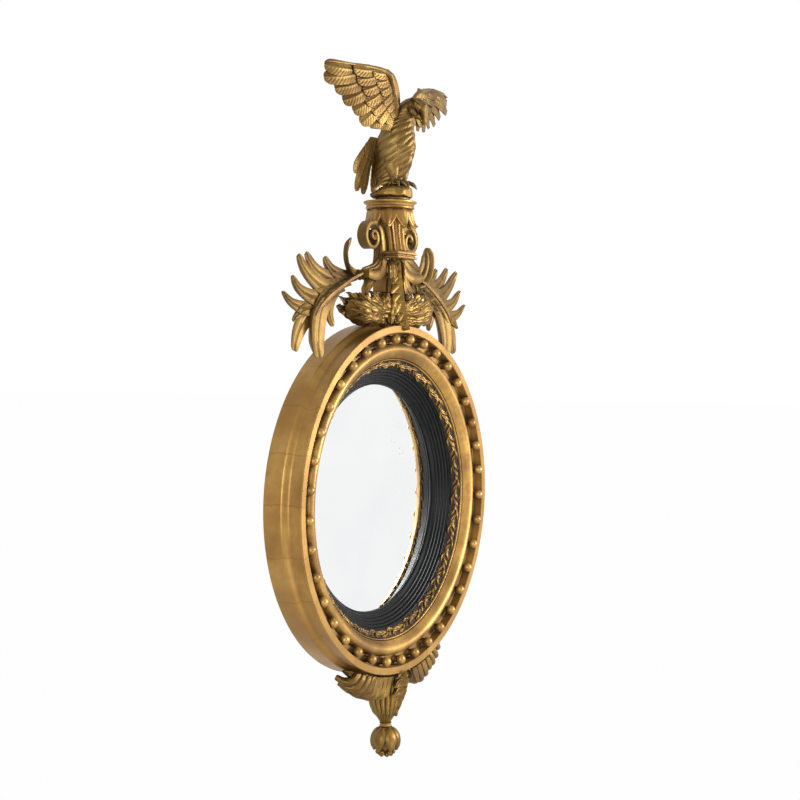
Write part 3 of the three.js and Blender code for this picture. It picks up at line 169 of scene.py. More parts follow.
@dataclass
class Blade:
    """One carved leaf, feather or petal: a curved spine and the shape across it.

    Sizes are in millimetres. Places across the leaf run from -1 to 1.

    Attributes:
        spine: Points that the middle line goes through.
        halves: Half widths along it.
        face: Direction that the leaf's face looks in.
        thick: Thickness along the middle.
        edge: Thickness at the rim.
        rib: Height of the rib along the middle.
        hollow: Depth of the trough on each side of the rib.
        cup: Depth of one trough across the whole width.
        fold: How far the rims stand forward of the middle.
        veins: Slanting cuts along the leaf.
        vein_depth: Half the depth of those cuts.
        slant: Share of their spacing that the cuts move towards the tip from middle to rim.
        strands: Grooves that run along the leaf, side by side.
        strand_depth: Depth of those grooves.
        lobes: Notches along the rim.
        lobe_depth: Share of the half width that a notch takes.
        tip: Share of the length over which the end is rounded.
        blunt: Share of the width that is left at the very end.
        twist: Degrees by which the leaf turns about its spine, along it.
        steps: Rings along the leaf.
        across: Strips across it.
    """

    spine: Sequence[Point]
    halves: Sequence[float]
    face: Point = (0, -1, 0)
    thick: float = 3.0
    edge: float = 0.8
    rib: float = 0.0
    hollow: float = 0.0
    cup: float = 0.0
    fold: float = 0.0
    veins: int = 0
    vein_depth: float = 0.0
    slant: float = 0.9
    strands: int = 0
    strand_depth: float = 0.0
    lobes: int = 0
    lobe_depth: float = 0.0
    tip: float = 0.25
    blunt: float = 0.0
    twist: Sequence[float] = (0.0, 0.0)
    steps: int = 20
    across: int = 8

    def half_at(self, t: float) -> float:
        """Gives the leaf's half width at a place along it, with its lobes and its rounded tip."""
        half = between(self.halves, t)
        if self.lobes:
            saw = (t * self.lobes) % 1.0
            half *= 1 - self.lobe_depth * (1 - saw) ** 1.5
        if self.tip and t > 1 - self.tip:
            share = (t - 1 + self.tip) / self.tip
            half *= self.blunt + (1 - self.blunt) * math.sqrt(max(1 - share**2, 0.0))
        return max(half, 0.05)

    def lift_at(self, t: float, u: float) -> float:
        """Gives how far the face stands over the spine at a place across the leaf."""
        lift = self.rib * math.exp(-((u / 0.16) ** 2))
        lift -= self.hollow * math.sin(math.pi * min(abs(u), 1.0)) * min(1.0, 5 * (1 - t))
        lift -= self.cup * (1 - u * u) * min(1.0, 8 * (1 - t)) + self.fold * u * u
        if self.veins:
            wave = 2 * abs(math.sin(math.pi * (t * self.veins - self.slant * abs(u)))) ** 0.6 - 1
            lift += self.vein_depth * wave * min(1.0, 4 * abs(u)) * (1 - 0.5 * abs(u))
        if self.strands:
            groove = 1 - abs(math.sin(math.pi * self.strands * (u + 1) / 2)) ** 0.6
            lift -= self.strand_depth * groove * min(1.0, 6 * t, 6 * (1 - t))
        return lift

    def rings(self) -> list[list[Vector]]:
        """Gives the closed rings of points that a skin is laid over."""
        rings = []
        for i in range(self.steps + 1):
            t = i / self.steps
            centre, ahead = along(self.spine, t), heading(self.spine, t)
            side = ahead.cross(Vector(self.face)).normalized()
            side = Matrix.Rotation(math.radians(between(self.twist, t)), 3, ahead) @ side
            out = side.cross(ahead).normalized()
            half = self.half_at(t)
            front, back = [], []
            for k in range(self.across + 1):
                u = 2 * k / self.across - 1
                lift = self.lift_at(t, u)
                body = self.edge + (self.thick - self.edge) * (1 - u * u)
                body *= min(1.0, 0.35 + 3 * (1 - t))
                spot = centre + side * (u * half)
                front.append(spot + out * lift)
                back.append(spot + out * (lift - body))
            rings.append(front + back[::-1])
        return rings


class Carving:
    """Points in millimetres and faces, which become one mesh."""

    def __init__(self) -> None:
        """Starts with no points."""
        self.points: list[Vector] = []
        self.faces: list[tuple[int, ...]] = []

    def add(self, points: Iterable[Vector], faces: Iterable[Sequence[int]]) -> "Carving":
        """Adds points and the faces among them, and returns the carving."""
        start = len(self.points)
        self.points.extend(Vector(p) for p in points)
        self.faces.extend(tuple(start + i for i in f) for f in faces)
        return self

    def skin(self, rings: Sequence[Sequence[Vector]], looped: bool = False) -> "Carving":
        """Lays a skin over rings of points and closes its ends.

        Args:
            rings: Closed rings with the same count of points each.
            looped: Joins the last ring to the first, and leaves the ends open.

        Returns:
            The carving.
        """
        n = len(rings[0])
        faces: list[Sequence[int]] = []
        for i in range(len(rings) if looped else len(rings) - 1):
            a, b = i * n, (i + 1) % len(rings) * n
            faces += [(a + j, a + (j + 1) % n, b + (j + 1) % n, b + j) for j in range(n)]
        if not looped:
            last = (len(rings) - 1) * n
            faces.append(list(range(n))[::-1])
            faces.append([last + j for j in range(n)])
        return self.add([p for ring in rings for p in ring], faces)

    def blade(self, **shape: object) -> "Carving":
        """Adds one leaf, feather or petal from the fields of a Blade."""
        return self.skin(Blade(**shape).rings())

    def rod(
        self,
        spine: Sequence[Point],
        radii: Sequence[float],
        steps: int = 20,
        around: int = 12,
        flat: float = 1.0,
        flutes: int = 0,
        flute_depth: float = 0.0,
    ) -> "Carving":
        """Adds a round bar along a curve.

        Args:
            spine: Points that the bar's middle goes through.
            radii: Radii along it.
            steps: Rings along the bar.
            around: Points round it.
            flat: Share of the radius that is left in the y direction.
            flutes: Sharp grooves round the bar.
            flute_depth: Share of the radius that a groove takes; below 0, ridges stand up instead.

        Returns:
            The carving.
        """
        rings = []
        for i in range(steps + 1):
            t = i / steps
            ahead = heading(spine, t)
            first = ahead.cross(Vector((0, -1, 0)))
            first = first.normalized() if first.length > 0.05 else Vector((1, 0, 0))
            second = first.cross(ahead).normalized()
            ring = []
            for k in range(around):
                angle = 2 * math.pi * k / around
                r = between(radii, t)
                if flutes:
                    r *= 1 - flute_depth * (1 - abs(math.sin(flutes * angle / 2)) ** 0.7)
                far = first * r * math.cos(angle), second * r * flat * math.sin(angle)
                ring.append(along(spine, t) + far[0] + far[1])
            rings.append(ring)
        return self.skin(rings)

    def lathe(
        self, profile: Sequence[tuple[float, float]], sides: int, upright: Vector | None = None
    ) -> "Carving":
        """Adds a turned ring or solid.

        Args:
            profile: Closed outline as [radius, height] points; the height is y, or z if upright.
            sides: Facets round the axis.
            upright: Foot of a vertical axis, for a piece that is turned about z.

        Returns:
            The carving.
        """
        rings = []
        for i in range(sides):
            angle = 2 * math.pi * i / sides
            if upright is None:
                rings.append([turned_point(r, h, angle) for r, h in profile])
            else:
                ring = [(r * math.cos(angle), r * math.sin(angle), h) for r, h in profile]
                rings.append([upright + Vector(p) for p in ring])
        return self.skin(rings, looped=True)

    def ball(self, centre: Point, r: float, around: int) -> "Carving":
        """Adds a small ball that is longer than it is wide by a tenth."""
        bands, longer = 6, 1.1
        rings = []
        for i in range(bands + 1):
            polar = math.pi * (0.02 + 0.96 * i / bands)
            flat, high = r * math.sin(polar), longer * r * math.cos(polar)
            ring = []
            for k in range(around):
                angle = 2 * math.pi * k / around
                spot = (flat * math.cos(angle), flat * math.sin(angle), high)
                ring.append(Vector(centre) + Vector(spot))
            rings.append(ring)
        return self.skin(rings)

    def leaf_ring(
        self, axis_y: float, angles: Iterable[float], spots: Sequence[Sequence[float]], **shape
    ) -> "Carving":
        """Adds leaves round an upright axis.

        Args:
            axis_y: Place of the axis, on the plane x = 0.
            angles: Angle of each leaf round it, 0 at the front.
            spots: Distance from the axis and height of the points along a leaf.
            shape: The other fields of a Blade.

        Returns:
            The carving.
        """
        foot = Vector((0, axis_y, 0))
        for angle in angles:
            out = Vector((math.sin(angle), -math.cos(angle), 0))
            spine = [tuple(foot + out * r + Vector((0, 0, z))) for r, z in spots]
            self.blade(spine=spine, face=tuple(out), **shape)
        return self

    def roughened(self, size: float, height: float) -> "Carving":
        """Moves every point by smooth noise, as a hand tool leaves it, and returns the carving."""
        for p in self.points:
            p += noise.noise_vector(p / size) * height
        return self

    def mirrored(self) -> "Carving":
        """Gives the same carving on the other side of the plane x = 0."""
        twin = Carving()
        twin.points = [Vector((-p.x, p.y, p.z)) for p in self.points]
        twin.faces = [face[::-1] for face in self.faces]
        return twin

    def moved(self, shift: Point) -> "Carving":
        """Gives the same carving at another place."""
        twin = Carving()
        twin.points = [p + Vector(shift) for p in self.points]
        twin.faces = list(self.faces)
        return twin

    def joined(self, other: "Carving") -> "Carving":
        """Adds another carving's skin to this one and returns this one."""
        return self.add(other.points, other.faces)

    def limited(self, low: Point, high: Point) -> "Carving":
        """Presses points that lie outside a box onto its sides, and returns the carving."""
        for p in self.points:
            for i in range(3):
                p[i] = min(max(p[i], low[i]), high[i])
        return self

    def flattened_back(self, start: float, end: float) -> "Carving":
        """Squeezes what lies behind one plane of y in between it and a second plane.

        Args:
            start: Points behind this y are moved.
            end: None of them comes to lie behind this y.

        Returns:
            The carving.
        """
        for p in self.points:
            if p.y > start:
                p.y = end - (end - start) * math.exp(-(p.y - start) / (end - start))
        return self

    def off_drum(self, drum: float, sign: int = 1) -> "Carving":
        """Presses points that lie inside the drum out to its round.

        Args:
            drum: Radius of the round.
            sign: 1 for carving over the drum and -1 for carving under it.

        Returns:
            The carving.
        """
        for p in self.points:
            r = math.hypot(p.x, p.z)
            if r < drum and p.y > DRUM_FRONT:
                x = p.x * drum / r
                p.x, p.z = x, sign * math.sqrt(max(drum**2 - x**2, 0))
        return self


def put_in_scene(name: str, data: bpy.types.ID) -> bpy.types.Object:
    """Makes an object from its data and links it to the scene."""
    made = bpy.data.objects.new(name, data)
    bpy.context.collection.objects.link(made)
    return made


def make_mesh(carving: Carving, name: str) -> bpy.types.Mesh:
    """Turns a carving into a mesh in metres."""
    mesh = bpy.data.meshes.new(name)
    mesh.from_pydata([p * MM for p in carving.points], [], carving.faces)
    return mesh


def make_piece(
    carving: Carving, name: str, finish: "Finish", nodes: Sequence[str], sharp: float = SHARP
) -> bpy.types.Object:
    """Turns a carving into a finished Blender piece that stands for CAD nodes.

    Args:
        carving: The points and faces.
        name: The piece's name.
        finish: What it is made of.
        nodes: CAD nodes that it replaces.
        sharp: Edges bent more than this many degrees stay sharp.

    Returns:
        The new object.
    """
    mesh = make_mesh(carving, name)
    work = bmesh.new()
    work.from_mesh(mesh)
    bmesh.ops.remove_doubles(work, verts=work.verts, dist=0.00002)
    bmesh.ops.recalc_face_normals(work, faces=work.faces)
    work.to_mesh(mesh)
    work.free()
    mesh.polygons.foreach_set("use_smooth", [True] * len(mesh.polygons))
    mesh.set_sharp_from_angle(angle=math.radians(sharp))
    piece = put_in_scene(name, mesh)
    mesh.materials.append(finish.material())
    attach(piece, FRAME_BODY)
    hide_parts(*nodes)
    log.info("%s: %d faces, %s", name, len(mesh.polygons), finish.title)
    return piece


def make_side(
    carving: Carving, side: Side, name: str, finish: "Finish", node: str, sharp: float = SHARP
) -> None:
    """Makes a piece for one side and its CAD node.

    Args:
        carving: The shape as it is on the right side.
        side: The side it is for; the left one gets the mirror image.
        name: The piece's name without its side.
        finish: What it is made of.
        node: The CAD node's name without its side.
        sharp: Edges bent more than this many degrees stay sharp.
    """
    shape = carving if side is Side.RIGHT else carving.mirrored()
    make_piece(shape, f"{name}_{side.word}", finish, [f"{node}_{side.word}"], sharp)


def make_pair(
    carving: Carving, name: str, finish: "Finish", node: str, sharp: float = SHARP
) -> None:
    """Makes a piece of the right side and its mirror image, each for the CAD node of its side."""
    for side in Side:
        make_side(carving, side, name, finish, node, sharp)


# ------------------------------------------------------------------ finishes


def linear(code: str) -> Colour:
    """Turns an sRGB hex colour into linear light, with full alpha."""
    parts = [int(code[i : i + 2], 16) / 255 for i in (1, 3, 5)]
    light = [c / 12.92 if c <= 0.04045 else ((c + 0.055) / 1.055) ** 2.4 for c in parts]
    return (light[0], light[1], light[2], 1.0)


def per_metre(size_mm: float) -> float:
    """Turns the real size of a pattern's grain in millimetres into a texture scale."""
    return 1.0 / MM / size_mm


def feed(tree: bpy.types.NodeTree, socket: Output, value: object) -> None:
    """Sets an input to a value, or links it to the output that gives the value."""
    if isinstance(value, Output):
        tree.links.new(value, socket)
    else:
        socket.default_value = value


def put(
    tree: bpy.types.NodeTree, kind: str, inputs: dict | None = None, **settings: object
) -> bpy.types.Node:
    """Adds one node to a material or to the world.

    Args:
        tree: The nodes.
        kind: Blender's name of the node, without the word ShaderNode.
        inputs: For an input's name or number, a value or the output that feeds it.
        settings: The node's own settings.

    Returns:
        The new node.
    """
    made = tree.nodes.new("ShaderNode" + kind)
    for name, value in settings.items():
        setattr(made, name, value)
    for key, value in (inputs or {}).items():
        feed(tree, made.inputs[key], value)
    return made


def reckon(tree: bpy.types.NodeTree, operation: str, *values: float | Output) -> Output:
    """Gives the result of one operation on numbers or outputs."""
    return put(tree, "Math", dict(enumerate(values)), operation=operation).outputs[0]


def emptied(owner: bpy.types.Material | bpy.types.World) -> bpy.types.NodeTree:
    """Gives the node tree of a new material or world, with nothing in it."""
    owner.use_nodes = True
    owner.node_tree.nodes.clear()
    return owner.node_tree


class Surface:
    """The nodes of one material: its shader, and the patterns that are put before it."""

    def __init__(self, title: str) -> None:
        """Starts a material whose shader has no pattern yet."""
        self.made = bpy.data.materials.new(title)
        self.tree = emptied(self.made)
        self.shader = put(self.tree, "BsdfPrincipled")
        self.place = put(self.tree, "TexCoord").outputs["Object"]
        put(self.tree, "OutputMaterial", {"Surface": self.shader.outputs[0]})

    def set(self, name: str, value: float | Output) -> None:
        """Sets one input of the shader to a number, or to the output that gives it."""
        feed(self.tree, self.shader.inputs[name], value)

    def reckon(self, operation: str, *values: float | Output) -> Output:
        """Gives the result of one operation on numbers or outputs."""
        return reckon(self.tree, operation, *values)

    def ramp(
        self,
        value: Output,
        start: float = 0.0,
        end: float = 1.0,
        low: float = 0.0,
        high: float = 1.0,
        curve: str = "LINEAR",
    ) -> Output:
        """Turns one range of a value into another.

        Args:
            value: The output that gives the value.
            start: Value that becomes low.
            end: Value that becomes high.
            low: Result at the start and before it.
            high: Result at the end and past it.
            curve: How the result goes from low to high.

        Returns:
            The output that gives the result.
        """
        spread = {"Value": value, "From Min": start, "From Max": end}
        spread |= {"To Min": low, "To Max": high}
        return put(self.tree, "MapRange", spread, interpolation_type=curve).outputs[0]

    def grain(self, size_mm: float, detail: float) -> Output:
        """Gives soft noise with grains of a real size."""
        pattern = {"Vector": self.place, "Scale": per_metre(size_mm), "Detail": detail}
        return put(self.tree, "TexNoise", pattern).outputs["Fac"]

    def speckle(self, size_mm: float, low: float, high: float) -> Output:
        """Gives a soft mask of spots.

        Args:
            size_mm: Size of the spots.
            low: Noise value where the mask starts.
            high: Noise value where it is full.

        Returns:
            The mask's output.
        """
        return self.ramp(self.grain(size_mm, 4.0), low, high, curve="SMOOTHSTEP")

    def blend(self, share: Output, first: str | Output, second: str | Output) -> Output:
        """Mixes two colours by a share, each a hex code or the output that gives it."""
        pair = [linear(c) if isinstance(c, str) else c for c in (first, second)]
        mix = put(self.tree, "Mix", {0: share, 6: pair[0], 7: pair[1]}, data_type="RGBA")
        return mix.outputs[2]

    def bump(self, height: Output, height_mm: float, strength: float) -> None:
        """Raises the surface by a pattern of a real height."""
        relief = {"Height": height, "Distance": height_mm * MM, "Strength": strength}
        self.set("Normal", put(self.tree, "Bump", relief).outputs[0])


@dataclass(frozen=True)
class Finish:
    """What a piece is made of and how its surface was made."""

    title: str
    slot: str

    def material(self) -> bpy.types.Material:
        """Gives the finish's one material, which is made the first time it is asked for."""
        made = bpy.data.materials.get(self.title)
        if made is None:
            surface = Surface(self.title)
            self.dress(surface)
            made = surface.made
        return made

    def dress(self, surface: Surface) -> None:
        """Sets the shader and the patterns that feed it."""
        raise NotImplementedError


@dataclass(frozen=True)
class Gilding(Finish):
    """Gold leaf over red-brown bole and gesso, aged and rubbed.

    The leaf gives a warm, soft mirror; bole shows where it is rubbed, and painted shade darkens its
    hollows and sharp cuts.

    Attributes:
        leaf: Colour of the gold leaf.
        deep: Colour of its duller clouds.
        bole: Colour of the red-brown clay that shows where the leaf is rubbed.
        shade_colour: Colour of the painted shade in hollows and cuts.
        seam: Colour of the laps between leaves.
        metal: How much the leaf mirrors like metal.
        rough: Roughness of the leaf.
        shade_reach_mm: Width of the hollows that the painted shade fills.
        dirt: Strength of the painted shade in hollows.
        cuts: Strength of the painted shade in sharp cuts.
        rub: Strength of the rubbed places.
        grain_mm: Size of the brushed grain.
        grain_height_mm: Height of that grain.
        leaf_laps: Leaves of gold round the whole drum, or 0 for no laps.
    """

    leaf: str = "#B28A45"
    deep: str = "#916A30"
    bole: str = "#8A5531"
    shade_colour: str = "#3A2412"
    seam: str = "#6E4A22"
    metal: float = 0.55
    rough: float = 0.36
    shade_reach_mm: float = 9.0
    dirt: float = 0.75
    cuts: float = 0.5
    rub: float = 0.5
    grain_mm: float = 1.6
    grain_height_mm: float = 0.08
    leaf_laps: int = 0

    def dress(self, surface: Surface) -> None:
        """Sets leaf, bole, laps, painted shade in hollows and cuts, and the brushed gesso under
        them.
        """
        colour = surface.blend(surface.speckle(70, 0.34, 0.66), self.leaf, self.deep)
        shade = surface.reckon("MULTIPLY", surface.speckle(11, 0.35, 0.7), 0.35)
        colour = surface.blend(shade, colour, self.deep)
        if self.leaf_laps:
            colour = self.laps(surface, colour)
        rubbed = surface.reckon("MULTIPLY", surface.speckle(17, 0.58, 0.72), self.rub)
        colour = surface.blend(rubbed, colour, self.bole)
        # Painted shade: hollows and sharp cuts are darkened towards shade_colour.
        shaded = self.painted_shade_mask(surface)
        surface.set("Base Color", surface.blend(shaded, colour, self.shade_colour))
        # The painted-shade mask joins the rubbed places in bare, which makes both duller and
        # rougher.
        bare = surface.reckon("MAXIMUM", rubbed, shaded)
        surface.set("Metallic", surface.ramp(bare, low=self.metal, high=self.metal * 0.35))
        surface.set("Roughness", surface.ramp(bare, low=self.rough, high=self.rough + 0.25))
        brushed = surface.reckon("ADD", surface.grain(self.grain_mm, 3.0), surface.grain(6.0, 2.0))
        surface.bump(brushed, self.grain_height_mm, 0.8)

    def painted_shade_mask(self, surface: Surface) -> Output:
        """Gives where shade is painted: in hollows that little light reaches, and in sharp cuts."""
        reach = {"Distance": self.shade_reach_mm * MM}
        open_to_light = put(surface.tree, "AmbientOcclusion", reach, samples=6).outputs["AO"]
        hollow = surface.reckon("MULTIPLY", surface.ramp(open_to_light, 0.85, 0.25), self.dirt)
        bend = put(surface.tree, "NewGeometry").outputs["Pointiness"]
        cut = surface.reckon("MULTIPLY", surface.ramp(bend, 0.49, 0.43), self.cuts)
        return surface.reckon("MAXIMUM", hollow, cut)

    def laps(self, surface: Surface, colour: Output) -> Output:
        """Adds the laps of the leaves: squares of gold laid side by side round the drum.

        Args:
            surface: The material's nodes.
            colour: The output that gives the leaf's colour.

        Returns:
            The output that gives the colour with its laps.
        """
        split = put(surface.tree, "SeparateXYZ", {0: surface.place})
        flat = put(surface.tree, "CombineXYZ", {0: split.outputs[0], 1: split.outputs[2]})
        around = {"Vector": flat.outputs[0]}
        turn = put(surface.tree, "TexGradient", around, gradient_type="RADIAL").outputs["Fac"]
        drift = surface.reckon("MULTIPLY_ADD", surface.grain(45, 3.0), 0.012, turn)
        cells = surface.reckon("MULTIPLY", drift, float(self.leaf_laps))
        lap = surface.ramp(surface.reckon("FRACT", cells), 0.035, 0.0, high=0.5)
        whole = {"W": surface.reckon("FLOOR", cells)}
        tone = put(surface.tree, "TexWhiteNoise", whole, noise_dimensions="1D").outputs["Value"]
        colour = surface.blend(surface.reckon("MULTIPLY", tone, 0.45), colour, self.deep)
        return surface.blend(lap, colour, self.seam)


@dataclass(frozen=True)
class EbonisedWood(Finish):
    """Pearwood stained black and waxed: near-black, with a satin grey gleam on each reed."""

    stain: str = "#0E0F10"
    worn: str = "#1E1C18"

    def dress(self, surface: Surface) -> None:
        """Sets the stain, thin places on the reeds and the fine grain."""
        thin = surface.reckon("MULTIPLY", surface.speckle(14, 0.5, 0.8), 0.5)
        surface.set("Base Color", surface.blend(thin, self.stain, self.worn))
        surface.set("IOR", 1.22)
        surface.set("Roughness", surface.ramp(thin, low=0.3, high=0.45))
        surface.bump(surface.grain(1.2, 4.0), 0.05, 0.6)


@dataclass(frozen=True)
class AntiqueMirror(Finish):
    """Tin-mercury silvering behind blown glass: a clear cool mirror with foxing specks."""

    silver: str = "#F4F6F6"
    clouded: str = "#DFE4E6"
    foxing: str = "#8F8E86"
    foxed_at: Point = (0.075, 0.0, 0.085)
    foxed_reach: float = 0.125

    def dress(self, surface: Surface) -> None:
        """Sets the silver, its clouding and the specks, which gather at the upper right."""
        shift = {0: surface.place, 1: self.foxed_at}
        offset = put(surface.tree, "VectorMath", shift, operation="SUBTRACT").outputs[0]
        far = put(surface.tree, "VectorMath", {0: offset}, operation="LENGTH").outputs["Value"]
        near = surface.ramp(far, self.foxed_reach, 0.03)
        cells = {"Vector": surface.place, "Scale": per_metre(7.0)}
        middle = put(surface.tree, "TexVoronoi", cells).outputs["Distance"]
        size = surface.ramp(surface.grain(22, 3.0), 0.43, 0.66, high=0.32)
        size = surface.reckon("MULTIPLY", size, near)
        spot = surface.ramp(surface.reckon("SUBTRACT", size, middle), 0.0, 0.08)
        cloud = surface.reckon("MULTIPLY", surface.speckle(120, 0.4, 0.75), 0.25)
        colour = surface.blend(cloud, self.silver, self.clouded)
        surface.set("Base Color", surface.blend(spot, colour, self.foxing))
        surface.set("Metallic", 1.0)
        surface.set("Roughness", surface.ramp(spot, low=0.02, high=0.5))


@dataclass(frozen=True)
class BarePine(Finish):
    """Unpainted pine gone brown with age: straight grain of 2 mm lines, dry and matt."""

    early: str = "#9C7A50"
    late: str = "#7E5E3A"
    stain: str = "#5E4630"
    line_mm: float = 2.0
    lines_per_unit: float = 3.2

    def dress(self, surface: Surface) -> None:
        """Sets the growth lines, the stains and the rough saw marks."""
        long_way = {"Vector": surface.place, "Scale": (1.0, 1.0, 0.07)}
        waves = {
            "Vector": put(surface.tree, "Mapping", long_way).outputs[0],
            "Scale": per_metre(self.line_mm * self.lines_per_unit),
            "Distortion": 6.0,
            "Detail": 2.0,
        }
        lines = put(surface.tree, "TexWave", waves).outputs["Fac"]
        stained = surface.reckon("MULTIPLY", surface.speckle(90, 0.45, 0.75), 0.5)
        colour = surface.blend(lines, self.early, self.late)
        surface.set("Base Color", surface.blend(stained, colour, self.stain))
        surface.set("Roughness", 0.78)
        surface.bump(lines, 0.15, 0.5)


@dataclass(frozen=True)
class PlainMetal(Finish):
    """Plain worn metal: brass plate, forged iron or a steel screw, dulled by handling."""

    bright: str = "#B4924C"
    dark: str = "#6B5226"
    rough: float = 0.38
    grain_mm: float = 2.0

    def dress(self, surface: Surface) -> None:
        """Sets the metal, its tarnish and the fine marks."""
        tarnish = surface.speckle(6, 0.42, 0.7)
        surface.set("Base Color", surface.blend(tarnish, self.bright, self.dark))
        surface.set("Metallic", 1.0)
        surface.set("Roughness", surface.ramp(tarnish, low=self.rough, high=self.rough + 0.25))
        surface.bump(surface.grain(self.grain_mm, 3.0), 0.06, 0.6)


# Water gilding, burnished on the turned mouldings: a smooth warm sheen.
TURNED_GILDING = Gilding(
    "water_gilding_burnished",
    "gilt",
    deep="#7E5C2A",
    metal=0.62,
    rough=0.42,
    rub=0.55,
    # Painted shade: reaching 17 mm at full strength, it darkens the cove round the balls where
    # their shadows fall.
    shade_reach_mm=17.0,
    dirt=1.0,
)
# The drum's side is laid in squares of leaf, about 80 mm, whose laps show as thin lines.
DRUM_GILDING = Gilding(
    "water_gilding_on_the_drum", "gilt", rough=0.4, rub=0.15, leaf_laps=23, dirt=0.6
)
# The running leaves are rubbed bright on their crests, and painted shade makes them brown where
# they sink to the ground.
BAND_GILDING = Gilding(
    "water_gilding_on_the_leaf_band",
    "gilt_carved",
    leaf="#9C7838",
    deep="#6A4E22",
    shade_colour="#20140A",
    metal=0.6,
    rough=0.42,
    shade_reach_mm=3.0,
    dirt=1.0,
)
# The ground behind the running leaves was never burnished, and is a matt near-black brown, far
# darker than the leaves.
BAND_GROUND = Gilding(
    "near_black_ground_of_the_leaf_band",
    "gilt_carved",
    leaf="#3E2B18",
    deep="#21160D",
    shade_colour="#120B06",
    metal=0.1,
    rough=0.7,
    shade_reach_mm=3.0,
    rub=0.1,
)
# Oil gilding on the carving: softer and browner, with painted shade dark in its hollows and cuts.
CARVED_GILDING = Gilding(
    "oil_gilding_on_carving",
    "gilt_carved",
    leaf="#8A6B2E",
    deep="#5E451A",
    shade_colour="#2A190C",
    metal=0.75,
    rough=0.44,
    cuts=0.6,
    dirt=0.85,
    rub=0.35,
    grain_mm=1.1,
    grain_height_mm=0.1,
)
# The neck and its leaves get a brighter copy of the carved gilding than the scrolls: painted light
# for the strong light on the stem.
NECK_GILDING = Gilding(
    "painted_lit_carving_of_the_neck",
    "gilt_carved",
    leaf="#AA8646",
    deep="#7A5827",
    shade_colour="#2A190C",
    metal=0.75,
    rough=0.4,
    cuts=0.8,
)
# The sprays' long hollows are smoother, with the warm red-brown bole close under the leaf.
SPRAY_GILDING = Gilding(
    "oil_gilding_on_sprays",
    "gilt_carved",
    leaf="#7A5E2A",
    deep="#523C18",
    shade_colour="#2A190C",
    metal=0.7,
    rough=0.5,
    cuts=0.6,
    dirt=0.6,
    shade_reach_mm=5.0,
)
# The ribs of the sprays are punched all over: a fine matt grain, with painted shade dark in their
# hollows and cuts.
PUNCHED_GILDING = Gilding(
    "punched_gilding",
    "gilt_carved",
    leaf="#8C6C38",
    deep="#6A4A22",
    metal=0.6,
    rough=0.5,
    rub=0.3,
    grain_mm=2.2,
    grain_height_mm=0.7,
)
# The eagle is the brownest part, with strong painted shade deep in the cut feathers.
EAGLE_GILDING = Gilding(
    "aged_gilding_on_the_eagle",
    "gilt_carved",
    leaf="#886D37",
    deep="#5C421A",
    shade_colour="#2A190C",
    metal=0.75,
    cuts=0.85,
    rough=0.44,
    shade_reach_mm=6.0,
    dirt=0.95,
    rub=0.3,
    grain_mm=0.9,
    grain_height_mm=0.12,
)
# The tail gets a brighter, less metallic leaf than the body: painted light that lifts it out of the
# shade behind the body.
TAIL_GILDING = Gilding(
    "painted_lit_gilding_on_the_tail",
    "gilt_carved",
    leaf="#BC9654",
    deep="#8A6832",
    metal=0.35,
    rough=0.5,
    shade_reach_mm=4.0,
    dirt=0.6,
    rub=0.3,
    grain_mm=0.9,
    grain_height_mm=0.12,
)
# Black stain under wax: the reeds catch the light as thin grey lines.
EBONISED = EbonisedWood("ebonised_pearwood", "ebonised")
# The old silvering mirrors clearly, and its foxing gathers at the upper right.
SILVERED = AntiqueMirror("silvered_convex_glass", "mirror")
# The backboard and the wedges are plain pine that has gone brown in the dark.
PINE = BarePine("bare_aged_pine", "pine")
# The drum's back is older, drier wood than the board, and redder from the bole on its edge.
CASE_PINE = BarePine("bare_back_of_the_drum", "pine", early="#8F6A42", late="#6B4A2C")
# The hangers are dull brass, the strap black forged iron and the screws plain grey steel.
BRASS = PlainMetal("dull_brass", "brass")
IRON = PlainMetal("forged_iron", "iron", bright="#4A4744", dark="#2C2825", rough=0.55)
STEEL = PlainMetal("plain_steel", "steel", bright="#9A9A97", dark="#63605A", rough=0.35)


# ------------------------------------------------------------------ the turned rings


# One repeat of the leaf band: each leaf's root and reach along it, the place across the band that
# its tip comes to, and how far its middle bends from the straight line.
BAND_LEAVES = (
    (0.0, 0.26, 0.86, -0.08),
    (0.06, 0.3, 0.14, 0.1),
    (0.16, 0.34, 0.88, 0.1),
    (0.34, 0.24, 0.2, -0.06),
    (0.48, 0.26, 0.14, 0.08),
    (0.56, 0.3, 0.86, -0.1),
    (0.66, 0.34, 0.12, -0.1),
    (0.84, 0.24, 0.8, 0.06),
)


